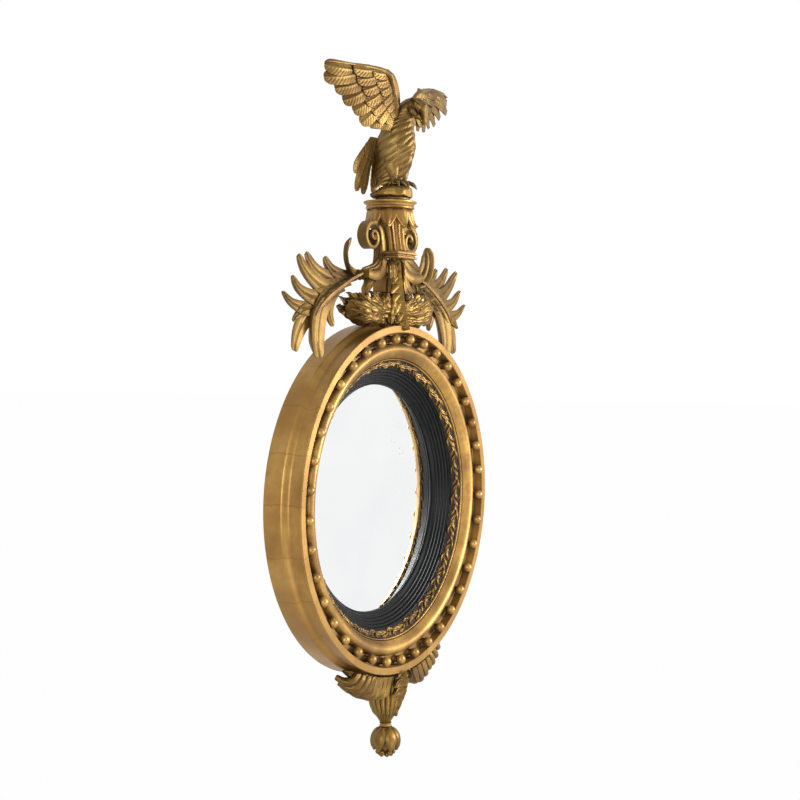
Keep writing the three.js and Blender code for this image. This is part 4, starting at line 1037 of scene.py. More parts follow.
@dataclass
class TurnedFrame:
    """The round case with its mouldings, the ring of balls, the slip and the glass."""

    sides: int = 288
    case_r: float = 295.9
    rim_outer_r: float = 292.3
    rim_inner_r: float = 280.3
    rim_depth: float = 6.0
    front_y: float = -70.4
    flare_start_y: float = -44.0
    flare_end_y: float = -33.0
    flare_rise: float = 9.6
    seat_y: float = -44.0
    cove_y: float = -54.6
    cove_inner_r: float = 262.1
    ball_ring_r: float = 270.0
    ball_r: float = 8.2
    ball_sink: float = 1.8
    ball_count: int = 37
    moulding_inner_r: float = 233.8
    band_inner_r: float = 222.5
    board_r: float = 236.0
    board_y: float = -6.0
    band_repeats: int = 26
    slip_bore_r: float = 226.0
    ledge_y: float = -30.3
    sight_r: float = 193.0
    slip_foot_y: float = -14.9
    reeds: int = 5
    reed_height: float = 1.3
    glass_r: float = 200.6
    glass_curve_r: float = 1500.0
    glass_thick: float = 3.0
    gap: float = 0.3
    bare_r: float = 294.5
    pocket_y: float = -7.5
    past_back: float = 2.0
    pocket_half: float = 12.0
    ring_pivot_z: float = 151.8
    ring_reach: float = 22.0
    strap_half: float = 9.6
    strap_y: float = -3.6
    bead_drop: float = 4.3
    band_drop: float = 13.4
    slip_drop: float = 17.7
    band_wave: float = 0.22

    def make(self) -> None:
        """Makes the case and the rings from the outside in."""
        self.make_case()
        self.make_cove()
        self.make_balls()
        self.make_inner_moulding()
        self.make_leaf_band()
        self.make_slip()
        self.make_glass()

    def case_outline(self) -> list[tuple[float, float]]:
        """Gives the drum's outline: rim, hollow below it, flare, straight rear, stepped inside."""
        outer, inner, r = self.rim_outer_r, self.rim_inner_r, self.case_r
        front, deep = self.front_y, self.rim_depth
        waist, board = outer - deep, self.board_y - self.gap
        hollow = [
            (waist + deep * (1 - math.sin(a)) ** 1.4, front + 4.6 + 5.5 * (1 - math.cos(a)))
            for a in (0.15, 0.5, 0.85, 1.2, 1.5)
        ]
        start, length = self.flare_start_y, self.flare_end_y - self.flare_start_y
        flare = [
            (waist + self.flare_rise * (0.5 - 0.5 * math.cos(math.pi * s)), start + length * s)
            for s in (0.0, 0.15, 0.3, 0.45, 0.6, 0.75, 0.9, 1.0)
        ]
        return [
            (inner, front + 0.8),
            (inner + 0.8, front),
            (outer - 1.0, front),
            (outer - 0.2, front + 0.5),
            (outer, front + 1.4),
            (outer, front + 4.0),
            *hollow,
            (waist, -52.0),
            *flare,
            (r, -31.0),
            (r, -16.0),
            (r, -1.5),
            (r - 1.5, 0.0),
            (self.board_r + self.gap, 0.0),
            (self.board_r + self.gap, board),
            (self.slip_bore_r, board),
            (self.slip_bore_r, self.ledge_y),
            (self.moulding_inner_r, self.ledge_y),
            (self.moulding_inner_r, self.seat_y),
            (inner, self.seat_y),
        ]

    def make_case(self) -> None:
        """Turns the drum and sinks the hanger pockets and the strap's groove into its back."""
        body = Carving().lathe(self.case_outline(), self.sides)
        piece = make_piece(body, "gilded_drum", DRUM_GILDING, ["outer_case"], sharp=32)
        self.sink(piece, self.pockets())
        self.bare_the_back(piece)

    def pockets(self) -> Carving:
        """Gives the space of the hangers, of their rings when these stand up, and of the strap."""
        space = Carving()
        beside, below, over, top = 1.2, 0.6, self.past_back, self.ring_pivot_z + self.ring_reach
        for side in Side:
            for node in ("hanger_plate_", "hanger_ring_"):
                low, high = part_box(node + side.word)
                first = (low.x / MM - beside, self.pocket_y, low.z / MM - below)
                space.joined(self.block(first, (high.x / MM + beside, over, high.z / MM + beside)))
            middle = (low.x + high.x) / 2 / MM
            first = (middle - self.pocket_half, self.pocket_y, high.z / MM - 6)
            space.joined(self.block(first, (middle + self.pocket_half, over, top)))
        low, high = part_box("crest_strap")
        first = (-self.strap_half, self.strap_y, low.z / MM - self.gap)
        return space.joined(self.block(first, (self.strap_half, over, self.case_r + 4)))

    def block(self, low: Point, high: Point) -> Carving:
        """Gives a box between two corners."""
        ring = [(low[0], low[1]), (high[0], low[1]), (high[0], high[1]), (low[0], high[1])]
        return Carving().skin([[Vector((x, y, z)) for x, y in ring] for z in (low[2], high[2])])

    def sink(self, piece: bpy.types.Object, pockets: Carving) -> None:
        """Cuts a carving's space out of a piece.

        Args:
            piece: The piece that is cut.
            pockets: The space to take out.
        """
        tool = put_in_scene("pockets", make_mesh(pockets, "pockets"))
        bite = piece.modifiers.new("pockets", "BOOLEAN")
        bite.object, bite.operation, bite.solver = tool, "DIFFERENCE", "EXACT"
        bite.use_self = True
        bpy.context.view_layer.update()
        result = piece.evaluated_get(bpy.context.evaluated_depsgraph_get())
        piece.data = bpy.data.meshes.new_from_object(result)
        piece.modifiers.clear()
        bpy.data.objects.remove(tool)

    def bare_the_back(self, piece: bpy.types.Object) -> None:
        """Leaves the drum's back and its pockets as bare wood, where nothing was gilded."""
        piece.data.materials.append(CASE_PINE.material())
        for face in piece.data.polygons:
            x, y, z = face.center
            in_pocket = y > -8.0 * MM and math.hypot(x, z) < self.bare_r * MM
            if face.normal.y > 0.7 or in_pocket:
                face.material_index = 1

    def make_cove(self) -> None:
        """Turns the hollow channel that the balls stand in."""
        outer, inner = self.rim_inner_r - self.gap, self.cove_inner_r + self.gap
        lip, seat = self.front_y + 1.2, self.seat_y - self.gap
        wall = [
            (outer - 0.2 - 1.9 * s**2, lip + (self.cove_y - self.front_y - 1.2) * s)
            for s in (0.0, 0.25, 0.5, 0.75, 0.92)
        ]
        outline = [(outer, lip), *wall, (outer - 3.4, self.cove_y), (inner, self.cove_y)]
        outline += [(inner, seat), (outer, seat)]
        channel = Carving().lathe(outline, self.sides)
        make_piece(channel, "cove_channel", TURNED_GILDING, ["ball_channel"], sharp=30)

    def make_balls(self) -> None:
        """Turns the balls, each with a small collar where its peg enters the cove's floor."""
        middle, floor = self.front_y + self.ball_sink, self.cove_y + 2.0
        steps, around, neck_degrees, collar = 12, 24, 138, 1.2
        outline = [(ON_AXIS, middle - self.ball_r)]
        for step in range(1, steps + 1):
            angle = math.radians(step * neck_degrees / steps)
            outline.append((self.ball_r * math.sin(angle), middle - self.ball_r * math.cos(angle)))
        neck = self.ball_r * math.sin(math.radians(neck_degrees))
        outline += [(neck, self.cove_y - 1.6), (neck + collar, self.cove_y - 0.6)]
        outline += [(neck + collar, floor), (ON_AXIS, floor)]
        balls = Carving()
        for i in range(self.ball_count):
            turn = Matrix.Rotation((i + 0.5) / self.ball_count * 2 * math.pi, 3, "Y")
            rings = []
            for k in range(around):
                a = 2 * math.pi * k / around
                right, up = math.cos(a), math.sin(a)
                ring = [(r * right, y, self.ball_ring_r + r * up) for r, y in outline]
                rings.append([turn @ Vector(spot) for spot in ring])
            balls.skin(rings, looped=True)
        make_piece(balls, "gilded_balls", TURNED_GILDING, ["ball_channel"], sharp=50)

    def make_inner_moulding(self) -> None:
        """Turns the swelling inner moulding with its quirk and bead."""
        outer, crest = self.cove_inner_r, self.cove_y - 11.0
        width = outer - self.moulding_inner_r
        inner = self.moulding_inner_r + self.gap
        shares = ((0.03, 7.0), (0.08, 4.4), (0.14, 2.4), (0.21, 1.0), (0.29, 0.2), (0.38, 0.1))
        shares += ((0.48, 1.0), (0.57, 2.6), (0.66, 5.0), (0.74, 7.8), (0.81, 10.3), (0.86, 12.0))
        bead_y = self.cove_y + self.bead_drop
        bead = [
            (inner + 1.5 + 1.5 * math.cos(a), bead_y - 0.4 - 1.9 * math.sin(a))
            for a in (0.0, 0.5, 1.0, 1.57, 2.1, 2.6, 3.14)
        ]
        outline = [(outer, self.seat_y - self.gap), (outer, self.cove_y)]
        outline += [(outer - width * s, crest + depth) for s, depth in shares]
        outline += [(inner + 3.6, bead_y - 0.2), (inner + 3.2, bead_y + 0.5), *bead]
        outline.append((inner, self.seat_y - self.gap))
        ring = Carving().lathe(outline, self.sides)
        make_piece(ring, "inner_swelling_moulding", TURNED_GILDING, ["inner_moulding"], sharp=35)

    def band_point(self, angle: float, share: float, lift: float) -> Point:
        """Gives a point over the leaf band.

        Args:
            angle: Angle round the mirror.
            share: Place across the band, 0 at the inner edge and 1 at the outer.
            lift: Height over the band's ground.

        Returns:
            The point in millimetres.
        """
        inner, outer = self.band_inner_r + self.gap, self.moulding_inner_r - self.gap
        low, high = self.cove_y + self.bead_drop + self.band_drop, self.cove_y + 4.8
        slope = Vector((high - low, inner - outer)).normalized()
        r = inner + (outer - inner) * share + slope.x * lift
        return tuple(turned_point(r, low + (high - low) * share**0.85 + slope.y * lift, angle))

    def make_leaf_band(self) -> None:
        """Carves the running leaf scroll on its dark ground, inside the inner moulding."""
        inner, outer = self.band_inner_r + self.gap, self.moulding_inner_r - self.gap
        outline = [(outer, self.ledge_y - self.gap), (inner, self.ledge_y - self.gap)]
        for share in (0.0, 0.04, 0.08, 0.3, 0.5, 0.7, 0.92, 0.96, 1.0):
            edge = 0.6 if share in (0.0, 0.04, 0.96, 1.0) else -0.4
            _, y, z = self.band_point(0.0, share, edge)
            outline.append((z, y))
        ground = Carving().lathe(outline, self.sides)
        make_piece(ground, "leaf_band_ground", BAND_GROUND, ["foliate_band"], sharp=30)
        leaves = Carving()
        step = 2 * math.pi / self.band_repeats
        for start in (repeat * step for repeat in range(self.band_repeats)):
            waves = [0.5 + self.band_wave * math.sin(math.pi * k / 4) for k in range(9)]
            stem = [self.band_point(start + step * k / 8, w, 1.0) for k, w in enumerate(waves)]
            leaves.rod(stem, [0.9, 0.9], 16, 6)
            for root, reach, share, bend in BAND_LEAVES:
                foot = 0.5 + self.band_wave * math.sin(2 * math.pi * root)
                half_way, across = start + step * (root + reach * 0.5), (foot + share) / 2 + bend
                leaves.blade(
                    spine=[
                        self.band_point(start + step * root, foot, 0.9),
                        self.band_point(half_way, across, 1.9),
                        self.band_point(start + step * (root + reach), share, 1.0),
                    ],
                    halves=[1.0, 2.8, 3.3, 2.7, 1.1],
                    thick=1.6, edge=0.7, rib=0.5, hollow=0.5, lobes=3, lobe_depth=0.3, steps=12,
                    across=6,
                )
            for place, share in ((0.27, 0.12), (0.31, 0.2), (0.77, 0.88), (0.81, 0.8)):
                leaves.ball(self.band_point(start + step * place, share, 0.9), 1.1, 8)
        make_piece(leaves, "running_leaves", BAND_GILDING, ["foliate_band"], sharp=50)

    def make_slip(self) -> None:
        """Turns the black slip: a slope of reeds, a quirk and a flat lip over the glass."""
        top = Vector((self.band_inner_r, self.cove_y + self.slip_drop))
        foot = Vector((self.sight_r, self.slip_foot_y))
        slope = foot - top
        out = Vector((slope.y, -slope.x)).normalized()
        if out.y > 0:
            out.negate()
        outline = [top]
        share = 0.84 / self.reeds
        for i in range(self.reeds):
            start = top + slope * (share * i)
            for a in (0.12, 0.3, 0.5, 0.7, 0.88):
                rise = self.reed_height * math.sin(math.pi * a) ** 0.8
                outline.append(start + slope * (share * a) + out * rise)
            outline.append(start + slope * share - out * 0.35)
        outline += [foot + Vector((1.4, -0.9)), foot + Vector((0.2, -0.2)), foot]
        lip_y, ledge = self.slip_foot_y + 1.9, self.ledge_y + self.gap
        back_y = self.glass_front(self.glass_r) + self.glass_thick + 0.6
        glass, bore = self.glass_r + self.gap, self.slip_bore_r - self.gap
        back = [(self.sight_r, lip_y), (glass, lip_y), (glass, back_y)]
        back += [(bore, back_y), (bore, ledge), (self.band_inner_r, ledge)]
        outline += [Vector(spot) for spot in back]
        ring = Carving().lathe([(p.x, p.y) for p in outline], self.sides)
        make_piece(ring, "reeded_black_slip", EBONISED, ["ebonised_slip"], sharp=40)

    def glass_front(self, r: float) -> float:
        """Gives y on the front of the convex glass at a distance from its centre."""
        curve = self.glass_curve_r
        fall = math.sqrt(curve**2 - self.sight_r**2) - math.sqrt(curve**2 - r**2)
        return self.slip_foot_y + 2.2 + fall

    def make_glass(self) -> None:
        """Grinds the convex plate as one smooth lens."""
        shares = (0.0002, 0.08, 0.17, 0.3, 0.44, 0.58, 0.72, 0.86, 1.0)
        radii = [self.glass_r * s for s in shares]
        front = [(r, self.glass_front(r)) for r in radii]
        back = [(r, self.glass_front(r) + self.glass_thick) for r in reversed(radii)]
        plate = Carving().lathe([*front, *back], self.sides)
        make_piece(plate, "convex_glass", SILVERED, ["mirror_plate"], sharp=60)


# ------------------------------------------------------------------ the crest's support


@dataclass
class Crest:
    """The carved support of the eagle: mound, curls, stem, front leaf, collar, capital and rock."""

    drum_r: float = 296.1
    mound_top: float = 347.9
    collar_half: float = 31.0
    collar_front: float = -78.1
    collar_back: float = -49.1
    collar_base: float = 403.4
    neck_base: float = 415.7
    cap_base: float = 491.9
    cap_r: float = 45.0
    cap_y: float = -42.0
    lotus_leaves: int = 8
    wall: float = -0.3

    def make(self) -> None:
        """Carves the support from the drum upwards."""
        self.make_mound()
        self.make_curls()
        self.make_stem()
        self.make_front_leaf()
        self.make_collar()
        self.make_capital()
        self.make_cap()
        self.make_perch()

    def make_mound(self) -> None:
        """Carves the mound: a core under leaves that spread from the foot of the stem."""
        core = [(0, -35, 284), (0, -35, 318), (0, -34, self.mound_top - 1)]
        mound = Carving().rod(core, [30, 30, 27, 20], 18, 72, 0.84, 18, 0.1)
        leaves = Carving()
        tips = ((10, -66, 291, 12), (25, -61, 292, 13), (36, -50, 298, 13), (35, -30, 304, 12))
        for x, y, z, wide in tips:
            leaves.blade(
                spine=[(x * 0.3, -47, 346), (x * 0.75, y - 1, 331), (x * 0.95, y, 314), (x, y, z)],
                halves=[6, wide, wide, wide * 0.8, 5],
                face=(x / 30, -1, 0.2),
                thick=6, rib=2.0, hollow=1.2, fold=3, veins=6, vein_depth=0.9, lobes=4,
                lobe_depth=0.3, strands=4, strand_depth=1.2, steps=32, across=22,
            )
        mound.joined(leaves).joined(leaves.mirrored())
        mound.limited((-40, -69.5, 200), (40, -3.6, self.mound_top)).off_drum(self.drum_r)
        make_piece(mound, "leaf_mound", CARVED_GILDING, ["crest_mound"])

    def make_curls(self) -> None:
        """Carves the two curls: fans of crumpled leaf that rise from the foot of the stem."""
        core = [(18, -36, 318), (50, -36, 312), (80, -36, 311), (106, -37, 318)]
        curl = Carving().rod(core, [24, 23, 21, 15], 30, 60, 0.95, 14, 0.14)
        front = ((42, -54, 347), (62, -50, 339), (84, -60, 347), (99, -55, 337), (120, -60, 341))
        front += ((134, -50, 330), (127, -45, 315), (121, -41, 302))
        back = ((66, -18, 346), (92, -16, 345), (116, -18, 338), (131, -24, 322))
        inner = 20
        for tips, y, bulge in ((front, -50, -13), (back, -24, 10)):
            for n, tip in enumerate(tips):
                share = n / (len(tips) - 1)
                foot = 336 - 34 * share
                reach, rise = tip[0] - inner, tip[2] - foot
                root = (inner, y, foot)
                low = (inner + reach * 0.35, y + bulge * 0.8, foot - 6 + rise * 0.2)
                far = (inner + reach * 0.75, y + bulge, foot - 2 + rise * 0.6)
                curl.blade(
                    spine=[root, low, far, tip],
                    halves=[6, 10, 12, 13, 11, 5, 1.5],
                    face=(0.3, -1.0 if bulge < 0 else 1.0, 0.5 - 0.9 * share),
                    thick=7, edge=1.4, rib=1.6, fold=4.5,
                    twist=(0, -6 + 14 * (n % 2), 18 - 30 * (n % 2)), lobes=4, lobe_depth=0.42,
                    strands=5, strand_depth=1.3, tip=0.1, blunt=0.3, steps=40, across=22,
                )
        curl.roughened(11, 2.4).limited((12, -68, 280), (139, -4, 347.8)).off_drum(self.drum_r)
        make_pair(curl, "base_curl", CARVED_GILDING, "base_curl")

    def make_stem(self) -> None:
        """Carves the fluted stem between mound and collar and the small leaves in its corners."""
        levels = ((348.2, 1.0), (352, 1.03), (362, 0.96), (376, 0.92), (390, 0.95), (403.1, 1.0))
        half, back, flute, panel, strips = 20, -21.6, 6.6, 12, 48
        rings = []
        for z, waist in levels:
            ring = []
            for k in range(strips + 1):
                x = -half + 2 * half * k / strips
                front = -47.6 + 0.9 * abs(math.sin(x * math.pi / flute)) ** 0.6 * 1.6
                if abs(x) < panel:
                    front -= 9.0 * min(1.0, (panel - abs(x)) / 1.2)
                ring.append(Vector((x * waist, front, z)))
            ring += [Vector((half * waist, back, z)), Vector((-half * waist, back, z))]
            rings.append(ring)
        make_piece(Carving().skin(rings), "fluted_stem", NECK_GILDING, ["crest_stem"])
        leaf = Carving().blade(
            spine=[(17, -52, 403), (18.5, -60.5, 392), (18, -60.5, 372), (14.5, -55, 355)],
            halves=[5.5, 7.5, 7.5, 5, 2],
            face=(0.5, -1, 0),
            thick=6, rib=1.2, hollow=1.6, veins=6, vein_depth=0.5, steps=30, across=12,
        )
        make_pair(leaf, "stem_leaf", CARVED_GILDING, "stem_leaf")

    def make_front_leaf(self) -> None:
        """Carves the long notched leaf that hangs over the front rim."""
        leaf = Carving().blade(
            spine=[(0, -60.6, 402), (0, -64, 372), (0, -68.5, 338), (0, -76, 303), (0, -80.2, 285)],
            halves=[7, 12, 18, 21, 21, 16, 9, 3],
            thick=5.5, edge=2.2, rib=2.6, hollow=2.2, fold=9, veins=9, vein_depth=1.2, slant=1.2,
            lobes=9, lobe_depth=0.36, steps=108, across=24,
        )
        leaf.roughened(9, 0.5)
        make_piece(leaf, "long_front_leaf", CARVED_GILDING, ["front_leaf"])

    def make_collar(self) -> None:
        """Works the collar: two fillets and a groove that return round its ends."""
        levels = ((0, 2.6), (0.7, 0.7), (1.9, 0), (3.4, 0.1), (4.3, 2.2), (5.0, 3.0), (6.6, 3.0))
        levels += ((7.3, 0.8), (8.4, 0), (10.2, 0), (10.9, 1.3), (12, 1.6))
        half, base, chamfer = self.collar_half, self.collar_base, 1.1
        rings = []
        for rise, inset in levels:
            x, front = half - inset, self.collar_front + inset
            corners = [(x - chamfer, front), (x, front + chamfer), (x, self.collar_back)]
            corners += [(-a, b) for a, b in reversed(corners)]
            rings.append([Vector((a, b, base + rise)) for a, b in corners])
        low, high = (-half, self.collar_front, base), (half, self.collar_back, base + 12)
        collar = Carving().skin(rings).limited(low, high)
        make_piece(collar, "moulded_collar", TURNED_GILDING, ["collar_band"], sharp=28)

    def make_capital(self) -> None:
        """Carves the fluted neck and the ring of hanging leaves with out-turned tips."""
        top = self.cap_base - 0.3
        spine = [(0, -53, self.neck_base), (0, -48, 452), (0, self.cap_y, top)]
        radii = [16, 15, 15, 16, 19, 25, 34]
        capital = Carving().rod(spine, radii, 30, 108, 1.0, 12, -0.2)
        count = self.lotus_leaves
        capital.leaf_ring(
            self.cap_y,
            [(i - (count - 1) / 2) / count * 1.84 * math.pi for i in range(count)],
            ((34, top), (39, top - 8), (41, top - 19), (44, top - 29), (48, top - 34)),
            halves=[12, 14.4, 14.6, 12.6, 9, 4.6, 0.6],
            thick=4.6, edge=2.2, rib=0.9, hollow=1.5, fold=5.0, strands=4, strand_depth=0.8,
            tip=0.0, steps=30, across=22,
        )
        ring = [(ON_AXIS, top - 4.5), (39.5, top - 4.5), (41, top - 3.4)]
        ring += [(41, top - 1.2), (40.4, top), (ON_AXIS, top)]
        capital.lathe(ring, 96, Vector((0, self.cap_y, 0)))
        capital.limited((-60, -110, 400), (60, self.wall, top))
        make_piece(capital, "leaf_capital", NECK_GILDING, ["leaf_capital"])

    def make_cap(self) -> None:
        """Turns the round cap: a fillet, a hollow and a round edge."""
        r, base = self.cap_r, self.cap_base
        steps = ((5.4, 0), (4.9, 1.2), (4.6, 2.0), (4.2, 3.0), (3.2, 4.0), (1.6, 4.7), (1.4, 5.2))
        steps += ((0.3, 5.7), (0, 6.6), (0.2, 7.6), (1.0, 8.4), (6, 8.5))
        profile = [(r - inset, base + rise) for inset, rise in steps]
        profile = [(ON_AXIS, base), *profile, (ON_AXIS, base + 8.5)]
        cap = Carving().lathe(profile, 96, Vector((0, self.cap_y, 0)))
        cap.limited((-60, -110, 400), (60, self.wall, 600))
        make_piece(cap, "moulded_cap", TURNED_GILDING, ["cap_moulding"], sharp=30)

    def make_perch(self) -> None:
        """Turns the plinth disc and hews the rock that the eagle stands on."""
        profile = [(ON_AXIS, 500.7), (26.6, 500.7), (27.6, 501.4), (28.4, 502.6), (28.5, 503.9)]
        profile += [(28.2, 505.2), (27.2, 506.3), (ON_AXIS, 506.5)]
        disc = Carving().lathe(profile, 72, Vector((0, self.cap_y - 6, 0)))
        make_piece(disc, "round_plinth", TURNED_GILDING, ["eagle_plinth"], sharp=30)
        spine = [(0, -45, 506.8), (0, -45, 516), (0, -43.5, 524.8)]
        rock = Carving().rod(spine, [34.5, 37, 37, 35.5, 31, 25, 20], 22, 72, 1.0, 7, 0.06)
        rock.roughened(16, 2.2).roughened(5, 0.7)
        rock.limited((-38, -79, 506.8), (38, -10, 524.8))
        make_piece(rock, "carved_rock", CARVED_GILDING, ["perch_rock"])


# ------------------------------------------------------------------ scrolls and sprays


# The fingers of a spray, from the innermost upper one round to the innermost lower one: points
# along each from the spray's root, half widths along it, and its thickness.
FINGERS = (
    (((6, 1, -4), (40, 3, -7), (70, 6, 2), (90, 9, 20)), (8, 11, 10, 7.5, 5.6), 12),
    (((22, 1, -11), (68, 5, -15), (108, 11, -1), (135, 15, 24)), (10, 14, 12, 9, 6.4), 13),
    (((40, 2, -20), (92, 4, -28), (132, 8, -10), (161, 10, 19)), (11, 15, 12.5, 9, 6), 13),
    (((60, 4, -30), (114, 6, -44), (152, 9, -35), (176, 11, -14)), (10, 14, 11, 7, 3.8), 12),
    (((80, 6, -42), (132, 9, -61), (170, 12, -56), (198, 14, -39)), (9, 13, 10.5, 6.5, 3.2), 11),
    (((96, 6, -50), (128, 9, -60), (152, 11, -69), (171, 13, -82)), (9, 12, 10, 7, 3.2), 10),
    (((90, 6, -44), (130, 11, -68), (152, 15, -96), (164, 17, -128)), (11, 16, 17, 14, 9), 12),
    (((70, 5, -30), (104, 4, -62), (116, 2, -100), (114, 1, -138)), (12, 18, 19, 17, 12), 14),
    (((44, 4, -18), (70, 6, -40), (74, 9, -66), (64, 10, -88)), (8, 11.5, 10.5, 8, 5.4), 11),
)


@dataclass
class ScrollsAndSprays:
    """The ribbon scrolls beside the neck and the palm sprays that spring from their ends."""

    volute_x: float = 57.0
    volute_z: float = 437.9
    spiral: tuple[float, ...] = (3.4, 6, 9, 12.5, 17.5, 22, 23.5, 28)
    turns: float = 1.75
    front: float = -48.8
    depth: float = 20.0
    root: Point = (86.3, -40.0, 375.9)
    spray_box: tuple[Point, Point] = ((86.3, -48, 237.6), (285.6, -20, 431.3))
    drum_r: float = 296.3

    def make(self) -> None:
        """Carves the scrolls, then the sprays."""
        self.make_scrolls()
        self.make_sprays()

    def ribbon_path(self) -> list[Point]:
        """Gives the ribbon's middle line: out of the eye, round the volute, down to the spray."""
        path: list[Point] = []
        steps = 21
        for i in range(steps + 1):
            share = i / steps
            angle = math.pi - self.turns * 2 * math.pi * (1 - share)
            r = between(self.spiral, share)
            x, z = self.volute_x + r * math.cos(angle), self.volute_z + r * math.sin(angle)
            path.append((x, 0, z))
        path += [(27, 0, 428), (26.5, 0, 417.9), (26.8, 0, 408), (28, 0, 399.9), (31, 0, 391)]
        path += [(36, 0, 383.9), (43, 0, 378), (52, 0, 374.6), (62, 0, 373)]
        return [*path, (74, 0, 373.6), (86, 0, 376)]

    def make_scrolls(self) -> None:
        """Carves the ribbons with their raised rims, the boss in the eye and the drop leaf."""
        path, steps, across = self.ribbon_path(), 150, 16
        rings = []
        for i in range(steps + 1):
            t = i / steps
            centre, ahead = along(path, t), heading(path, t)
            outward = Vector((ahead.z, 0, -ahead.x))
            half = between([1.6, 2.0, 2.3, 2.6, 2.8, 3.0, 3.4, 4.6, 6.6, 7.6, 7.4, 6.0], t)
            front = self.front - between([4, 1, 0, 0, 0, 0, 0, 0, 0, 2, 5, 8, 8], t)
            leafy = min(1.0, max(0.0, (t - 0.6) * 4))
            sides: tuple[list[Vector], list[Vector]] = ([], [])
            for k in range(across + 1):
                s = k / across
                y = front + (self.front + self.depth - front) * s
                rim = 1.0 * bump_at(s, 0.09, 0.1) * (1 - leafy)
                ridge = 1.9 * leafy * (abs(math.sin(math.pi * (4 * s + 0.25))) ** 0.6 - 0.6)
                round_off = 0.55 if k in (0, across) else 1.0
                for sign, side in ((1, sides[0]), (-1, sides[1])):
                    far = (half + rim + ridge) * round_off * sign
                    side.append(centre + outward * far + Vector((0, y, 0)))
            rings.append(sides[0] + sides[1][::-1])
        scroll = Carving().skin(rings)
        eye = [(self.volute_x, y, self.volute_z) for y in (self.front - 4.4, -29)]
        scroll.rod(eye, [0.3, 3.4, 4.4, 4.8, 5, 5, 5, 5], 16, 20)
        flare = [(27, -44, 430), (29, -48, 410), (36, -51.5, 394), (54, -52, 382), (86, -46, 377)]
        scroll.blade(
            spine=flare,
            halves=[3, 6.5, 11, 15, 15, 12, 8],
            face=(0.15, -1, 0.1),
            thick=9, edge=1.8, fold=2.5, strands=5, strand_depth=2.2, tip=0.0, steps=44, across=26,
        )
        scroll.blade(
            spine=[(50, -45, 379), (62, -50, 372), (75, -50, 357), (87, -46, 333)],
            halves=[7, 10, 10.5, 8, 3],
            face=(-0.25, -1, 0),
            thick=9, edge=2.2, rib=1.4, hollow=3.2, fold=-1.5, veins=4, vein_depth=0.8, steps=30,
            across=14,
        )
        strands = ((88, 392, 6.5), (88, 380, 8), (84, 367, 8.5), (70, 352, 8), (52, 345, 7))
        for side, extra in ((Side.RIGHT, strands), (Side.LEFT, ())):
            shape = Carving().joined(scroll)
            for far, drop, wide in extra:
                middle = (26 + (far - 26) * 0.45, -53, drop + 12)
                shape.blade(
                    spine=[(26, -45, 432), (30, -49, 412), middle, (far, -49, drop)],
                    halves=[3, 5, wide, wide * 1.15, wide],
                    face=(0.3, -1, 0.1),
                    thick=9, edge=1.8, rib=0.8, fold=2.4, tip=0.22, blunt=0.3, steps=34, across=12,
                )
            shape.limited((20.5, -57, 329), (86.0, -28.8, 463.6))
            make_side(shape, side, "ribbon_scroll", CARVED_GILDING, "scroll", 50)

    def make_sprays(self) -> None:
        """Carves the fingers of each spray, its springing tendril and the punched rib."""
        spray = Carving()
        for spine, halves, deep in FINGERS:
            spray.blade(
                spine=[(x, 0.85 * y + 2.5 - 0.015 * x, z) for x, y, z in spine],
                halves=halves,
                thick=deep, edge=deep * 0.24, cup=deep * 0.2, rib=2.2, tip=0.07, blunt=0.72,
                steps=34, across=16,
            )
        tendril = [(-2, 1, -4), (16, -1, -1), (32, -1, 9), (40, -2, 26), (39, -3, 42), (32, -3, 55)]
        for side, broad, strands in ((Side.RIGHT, 1.5, 3), (Side.LEFT, 1.0, 0)):
            shape = Carving().joined(spray)
            shape.blade(
                spine=tendril,
                halves=[half * broad for half in (8, 9.5, 10, 9.5, 9, 8, 6)],
                face=(-0.55, -0.85, 0.25),
                thick=6, edge=1.4, cup=2.4, rib=1.2, strands=strands, strand_depth=1.4, tip=0.18,
                blunt=0.3, steps=34, across=18,
            )
            shape = shape.moved(self.root).flattened_back(-27, -20)
            shape.limited(*self.spray_box).off_drum(self.drum_r)
            make_side(shape, side, "palm_spray", SPRAY_GILDING, "spray", 50)
        line = [(0, -7.5, 0), (30, -7, -10), (58, -6.5, -23), (86, -5, -38), (112, -3, -56)]
        rib = Carving().blade(
            spine=[*line, (128, 0, -74)],
            halves=[2, 2.4, 2.8, 3.2, 3.4, 2.8, 1.0],
            thick=6, edge=2, rib=0.9, hollow=-0.7, steps=40, across=10,
        )
        rib = rib.moved(self.root).limited(*self.spray_box)
        make_pair(rib, "punched_rib", PUNCHED_GILDING, "spray")


# ------------------------------------------------------------------ the eagle


# Root and tip of each feather of the right wing, in three rows from the longest feathers inwards.
WING_ROWS = (
    (
        ((112, -1, 176), (178, 17, 175)),
        ((104, -3, 172), (175, 16, 156)),
        ((92, -4, 164), (154, 13, 140)),
        ((80, -7, 155), (132, 9, 125)),
        ((68, -10, 146), (112, 5, 109)),
        ((58, -12, 138), (92, 1, 94)),
        ((46, -13, 130), (70, -3, 86)),
        ((34, -14, 124), (42, -9, 87)),
        ((24, -13, 118), (24, -12, 92)),
    ),
    (
        ((70, -14, 182), (124, -3, 176)),
        ((60, -17, 176), (113, -5, 160)),
        ((52, -18, 168), (102, -7, 143)),
        ((46, -19, 160), (92, -9, 126)),
        ((40, -20, 152), (80, -12, 110)),
        ((34, -19, 144), (64, -14, 100)),
        ((28, -18, 134), (46, -16, 98)),
        ((22, -17, 126), (30, -16, 98)),
    ),
    (
        ((44, -23, 180), (84, -15, 176)),
        ((40, -23, 174), (74, -17, 160)),
        ((36, -24, 167), (67, -19, 145)),
        ((33, -24, 158), (60, -20, 130)),
        ((29, -23, 148), (50, -20, 118)),
        ((24, -22, 138), (38, -20, 112)),
    ),
)


